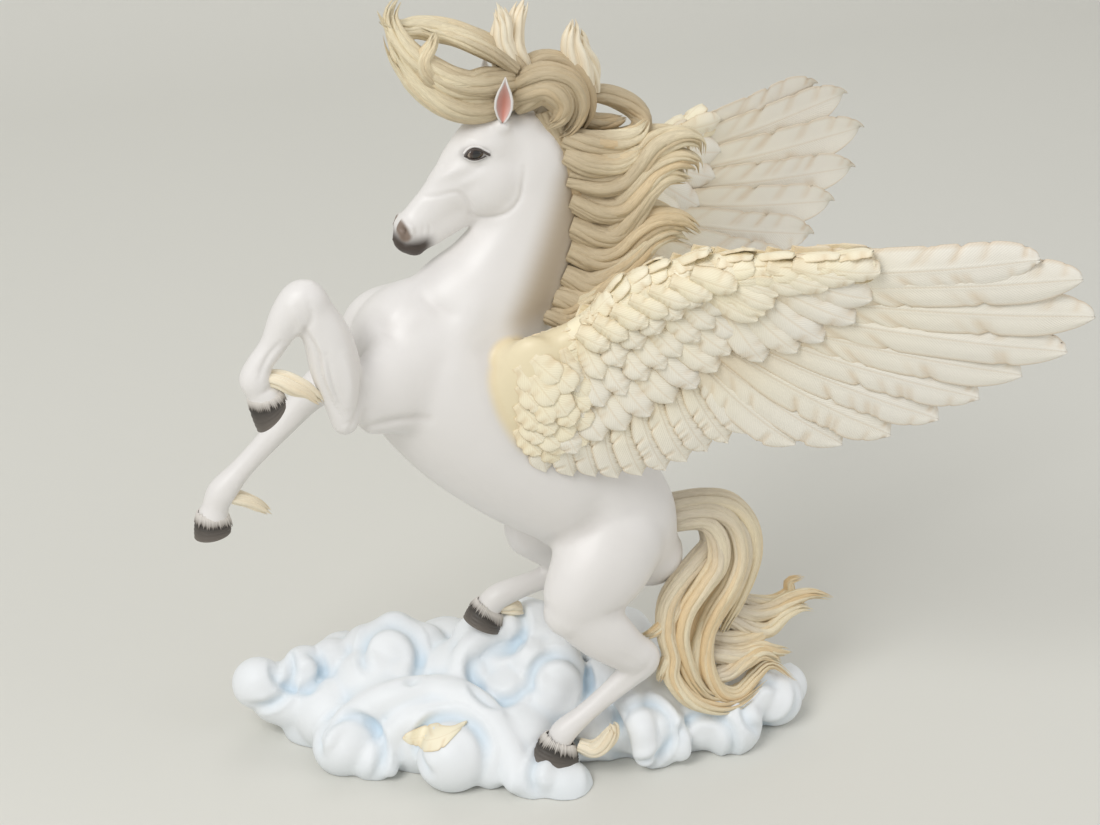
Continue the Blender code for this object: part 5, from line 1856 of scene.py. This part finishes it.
TUFTS = (
    Lock(((-114, -24, 195), (-109, -25, 194), (-104, -26, 191.5), (-99, -26, 188.5), (-93.6, -25, 182.5)), 3.6, 3.2),
    Lock(((-125, 20, 127.5), (-119, 20, 125.5), (-113, 20, 122), (-106.4, 20, 116)), 3.2, 2.6),
    Lock(((-16, 20, 58.5), (-10, 20, 56.5), (-5, 19, 53)), 3.8, 3.2),
    Lock(((4, -25, 15), (9, -28, 14), (13, -31, 18), (16, -33, 25), (14, -34, 29)), 3.8, 3.4),
)


def laid_forward(locks: tuple[Lock, ...], below: float, amount: float) -> tuple[Lock, ...]:
    """Locks whose low ends are drawn forward and up, over what lies under them.

    Args:
        locks: the locks.
        below: height under which they start to come forward.
        amount: how far their lowest ends come.

    Returns:
        The locks with their new routes.
    """
    moved = []
    for lock in locks:
        route = []
        for x, y, z in lock.route:
            share = amount * min(max((below - z) / 25, 0), 1)
            route.append((x - 0.28 * share, y - 0.85 * share, z + 0.44 * share))
        moved.append(Lock(tuple(route), lock.across, lock.within))
    return tuple(moved)


def mirrored(locks: tuple[Lock, ...], share: float, drop: float) -> tuple[Lock, ...]:
    """Locks of the far side, which lie closer to the neck and lower."""
    return tuple(Lock(tuple((x, 1 - share * y, z - drop) for x, y, z in lock.route), lock.across, lock.within)
                 for lock in locks)


@dataclass
class Studio:
    """Pale floor and backdrop, soft lamps and the camera."""

    floor_colour: Colour = paint(219, 218, 211)
    azimuth: float = -18.0
    elevation: float = 26.0
    distance: float = 850.0
    lens: float = 72.33
    aim: Place = (0.0, 0.0, 153.0)

    def build(self) -> None:
        """Set up everything around the figurine."""
        self.floor()
        self.lamps()
        self.camera()
        view = bpy.context.scene.view_settings
        view.view_transform = "Standard"

    def floor(self) -> None:
        """Floor that curves up into a backdrop behind the figurine."""
        mesh = bmesh.new()
        profile = [(-3000, 0), (900, 0)]
        profile += [(900 + 500 * math.sin(turn), 500 - 500 * math.cos(turn)) for turn in np.linspace(0.1, 1.5, 12)]
        profile += [(1400, 3000)]
        rows = [[mesh.verts.new((x * MM, y * MM, z * MM)) for x in (-4000, 4000)] for y, z in profile]
        for low, high in zip(rows, rows[1:]):
            mesh.faces.new((low[0], low[1], high[1], high[0]))
        data = mesh_of(mesh, "floor", 1.0)
        data.shade_smooth()
        data.transform(Matrix.Translation((0, 0, -0.0003)))
        material = bpy.data.materials.new("pale_floor")
        material.use_nodes = True
        shader = material.node_tree.nodes["Principled BSDF"]
        shader.inputs["Base Color"].default_value = self.floor_colour
        shader.inputs["Roughness"].default_value = 0.9
        data.materials.append(material)
        new_shape("floor", data)

    def lamps(self) -> None:
        """Soft key from the upper left, weak fill from the right, and an even sky."""
        for name, place, size, power in (
            ("key", (-1.0, -0.8, 1.4), 0.8, 16.0), ("fill", (1.3, -0.8, 0.8), 1.2, 4.0),
            ("back", (0.3, 1.2, 1.6), 1.2, 5.0),
        ):
            lamp = bpy.data.lights.new(name, "AREA")
            lamp.size = size
            lamp.energy = power
            shape = bpy.data.objects.new(name, lamp)
            bpy.context.scene.collection.objects.link(shape)
            aim = Vector(place) - Vector((0, 0, 0.15))
            shape.matrix_world = Matrix.Translation(place) @ aim.to_track_quat("Z", "Y").to_matrix().to_4x4()
        world = bpy.data.worlds.new("even_sky")
        world.use_nodes = True
        background = world.node_tree.nodes["Background"]
        background.inputs["Color"].default_value = (1.0, 1.0, 1.0, 1.0)
        background.inputs["Strength"].default_value = 0.55
        bpy.context.scene.world = world

    def camera(self) -> None:
        """Camera at the photograph's viewing angle."""
        turn, tilt = math.radians(self.azimuth), math.radians(self.elevation)
        back = Vector((math.sin(turn) * math.cos(tilt), -math.cos(turn) * math.cos(tilt), math.sin(tilt)))
        right = Vector((math.cos(turn), math.sin(turn), 0))
        up = back.cross(right)
        data = bpy.data.cameras.new("camera")
        data.sensor_width = 36
        data.lens = self.lens
        data.clip_start = 0.01
        data.clip_end = 30
        shape = bpy.data.objects.new("camera", data)
        bpy.context.scene.collection.objects.link(shape)
        place = (Vector(self.aim) + back * self.distance) * MM
        shape.matrix_world = Matrix.Translation(place) @ Matrix((right, up, back)).transposed().to_4x4()
        bpy.context.scene.camera = shape


def blade_set(name: str, blades: list[Blade]) -> bpy.types.Collection:
    """Collection of blades for a geometry tree to pick from."""
    blades_kept = bpy.data.collections.new(name)
    bpy.context.scene.collection.children.link(blades_kept)
    for index, blade in enumerate(blades):
        shape = blade.build(f"{name}_{index}")
        bpy.context.scene.collection.objects.unlink(shape)
        blades_kept.objects.link(shape)
    return blades_kept


def main() -> None:
    """Build the figurine piece by piece and set it on its floor."""
    logging.basicConfig(level=logging.INFO, format="%(name)s: %(message)s")
    groups = {"mottle": mottle_group(), "strands": strand_group(), "barbs": barb_group()}
    finishes = {resin.name: resin.material(groups) for resin in (
        COAT, EYE_GLASS, HORN, FRINGE, MANE_PAINT, TAIL_PAINT, TUFT_PAINT, FEATHER_PAINT, ARM_PAINT, CLOUD_PAINT)}

    wings = [Wing(side) for side in Side]
    horse = Horse()
    hand_over(horse.build(wings), finishes[COAT.name])
    hand_over(Ears().build(), finishes[COAT.name])
    eyes, lids = Eyes(horse).build()
    hand_over(eyes, finishes[EYE_GLASS.name])
    hand_over(lids, finishes[COAT.name])
    hooves, fringes = Hooves(horse).build(fringe_tree(), finishes[FRINGE.name])
    hand_over(hooves, finishes[HORN.name])
    hand_over(fringes, finishes[FRINGE.name])

    strands = strand_tree()
    mane = finishes[MANE_PAINT.name]
    tail = finishes[TAIL_PAINT.name]
    for hair, finish in (
        (Hair("forelock", FORELOCKS, 11, fade_from=0.1, fade_to=0.75, warm=0.4), mane),
        (Hair("crown_tufts", CROWN, 17, strands=6, stout=0.5, splay=0.5, warm=0.5), finishes[TUFT_PAINT.name]),
        (Hair("rolled_mane", ROLLS, 12, fade_from=0.7, fade_to=1.5, splay=0.1), mane),
        (Hair("near_mane", NECK_LOCKS, 13, fade_from=0.25, fade_to=0.9, warm=0.8), mane),
        (Hair("far_mane", mirrored(NECK_LOCKS[:-1], 0.7, FAR_DROP), 14, fade_from=0.25, fade_to=0.9, warm=0.8),
         mane),
        (Hair("tail", laid_forward(TAIL_LOCKS, 48, 6), 15, fade_from=0.05, fade_to=0.6, warm=1.0), tail),
        (Hair("fetlock_tufts", TUFTS, 16, strands=7, stout=0.45, splay=0.5), finishes[TUFT_PAINT.name]),
    ):
        hand_over(hair.build(strands, finish), finish)

    feathers = feather_tree()
    flights = blade_set("flight_blade", [Blade(seed) for seed in (31, 32, 33)])
    lanes = (0.1, 0.3, 0.6, 0.88, 1.0)
    coverts = blade_set("covert_blade", [
        Blade(seed, 24, 7, lanes, 0.36, 0.42, 0.12, 0.8, 1.5, 0.35, 0.5, 0.16, 0.9) for seed in (41, 42, 43, 44)])
    scales = blade_set("scale_blade", [
        Blade(seed, 14, 4, lanes, 0.4, 0.3, 0.12, 0.8, 1.3, 0.3, 0.35, 0.2, 0.3) for seed in (51, 52, 53)])
    plume = finishes[FEATHER_PAINT.name]
    for wing in wings:
        label = wing.side.name.lower()
        seeds = wing.seeds(FLIGHTS, 3, 21, (1,))
        hand_over(wing.plant(f"flight_feathers_{label}", seeds, feathers, flights, plume), plume)
        for face, word in ((1, "outer"), (-1, "inner")):
            seeds = wing.seeds(COVERTS, 4, 22, (face,))
            hand_over(wing.plant(f"{word}_coverts_{label}", seeds, feathers, coverts, plume), plume)
        hand_over(wing.plant(f"arm_scales_{label}", wing.scale_seeds(3, 23), feathers, scales, plume), plume)
        hand_over(wing.arm(), finishes[ARM_PAINT.name])
    for blades in (flights, coverts, scales):
        for shape in list(blades.objects):
            bpy.data.objects.remove(shape)
        bpy.data.collections.remove(blades)

    clouds = CloudBank()
    bank = hand_over(clouds.build(), finishes[CLOUD_PAINT.name])
    hand_over(clouds.loose_feather(bank), plume)
    Studio().build()


if __name__ == "__main__":
    main()
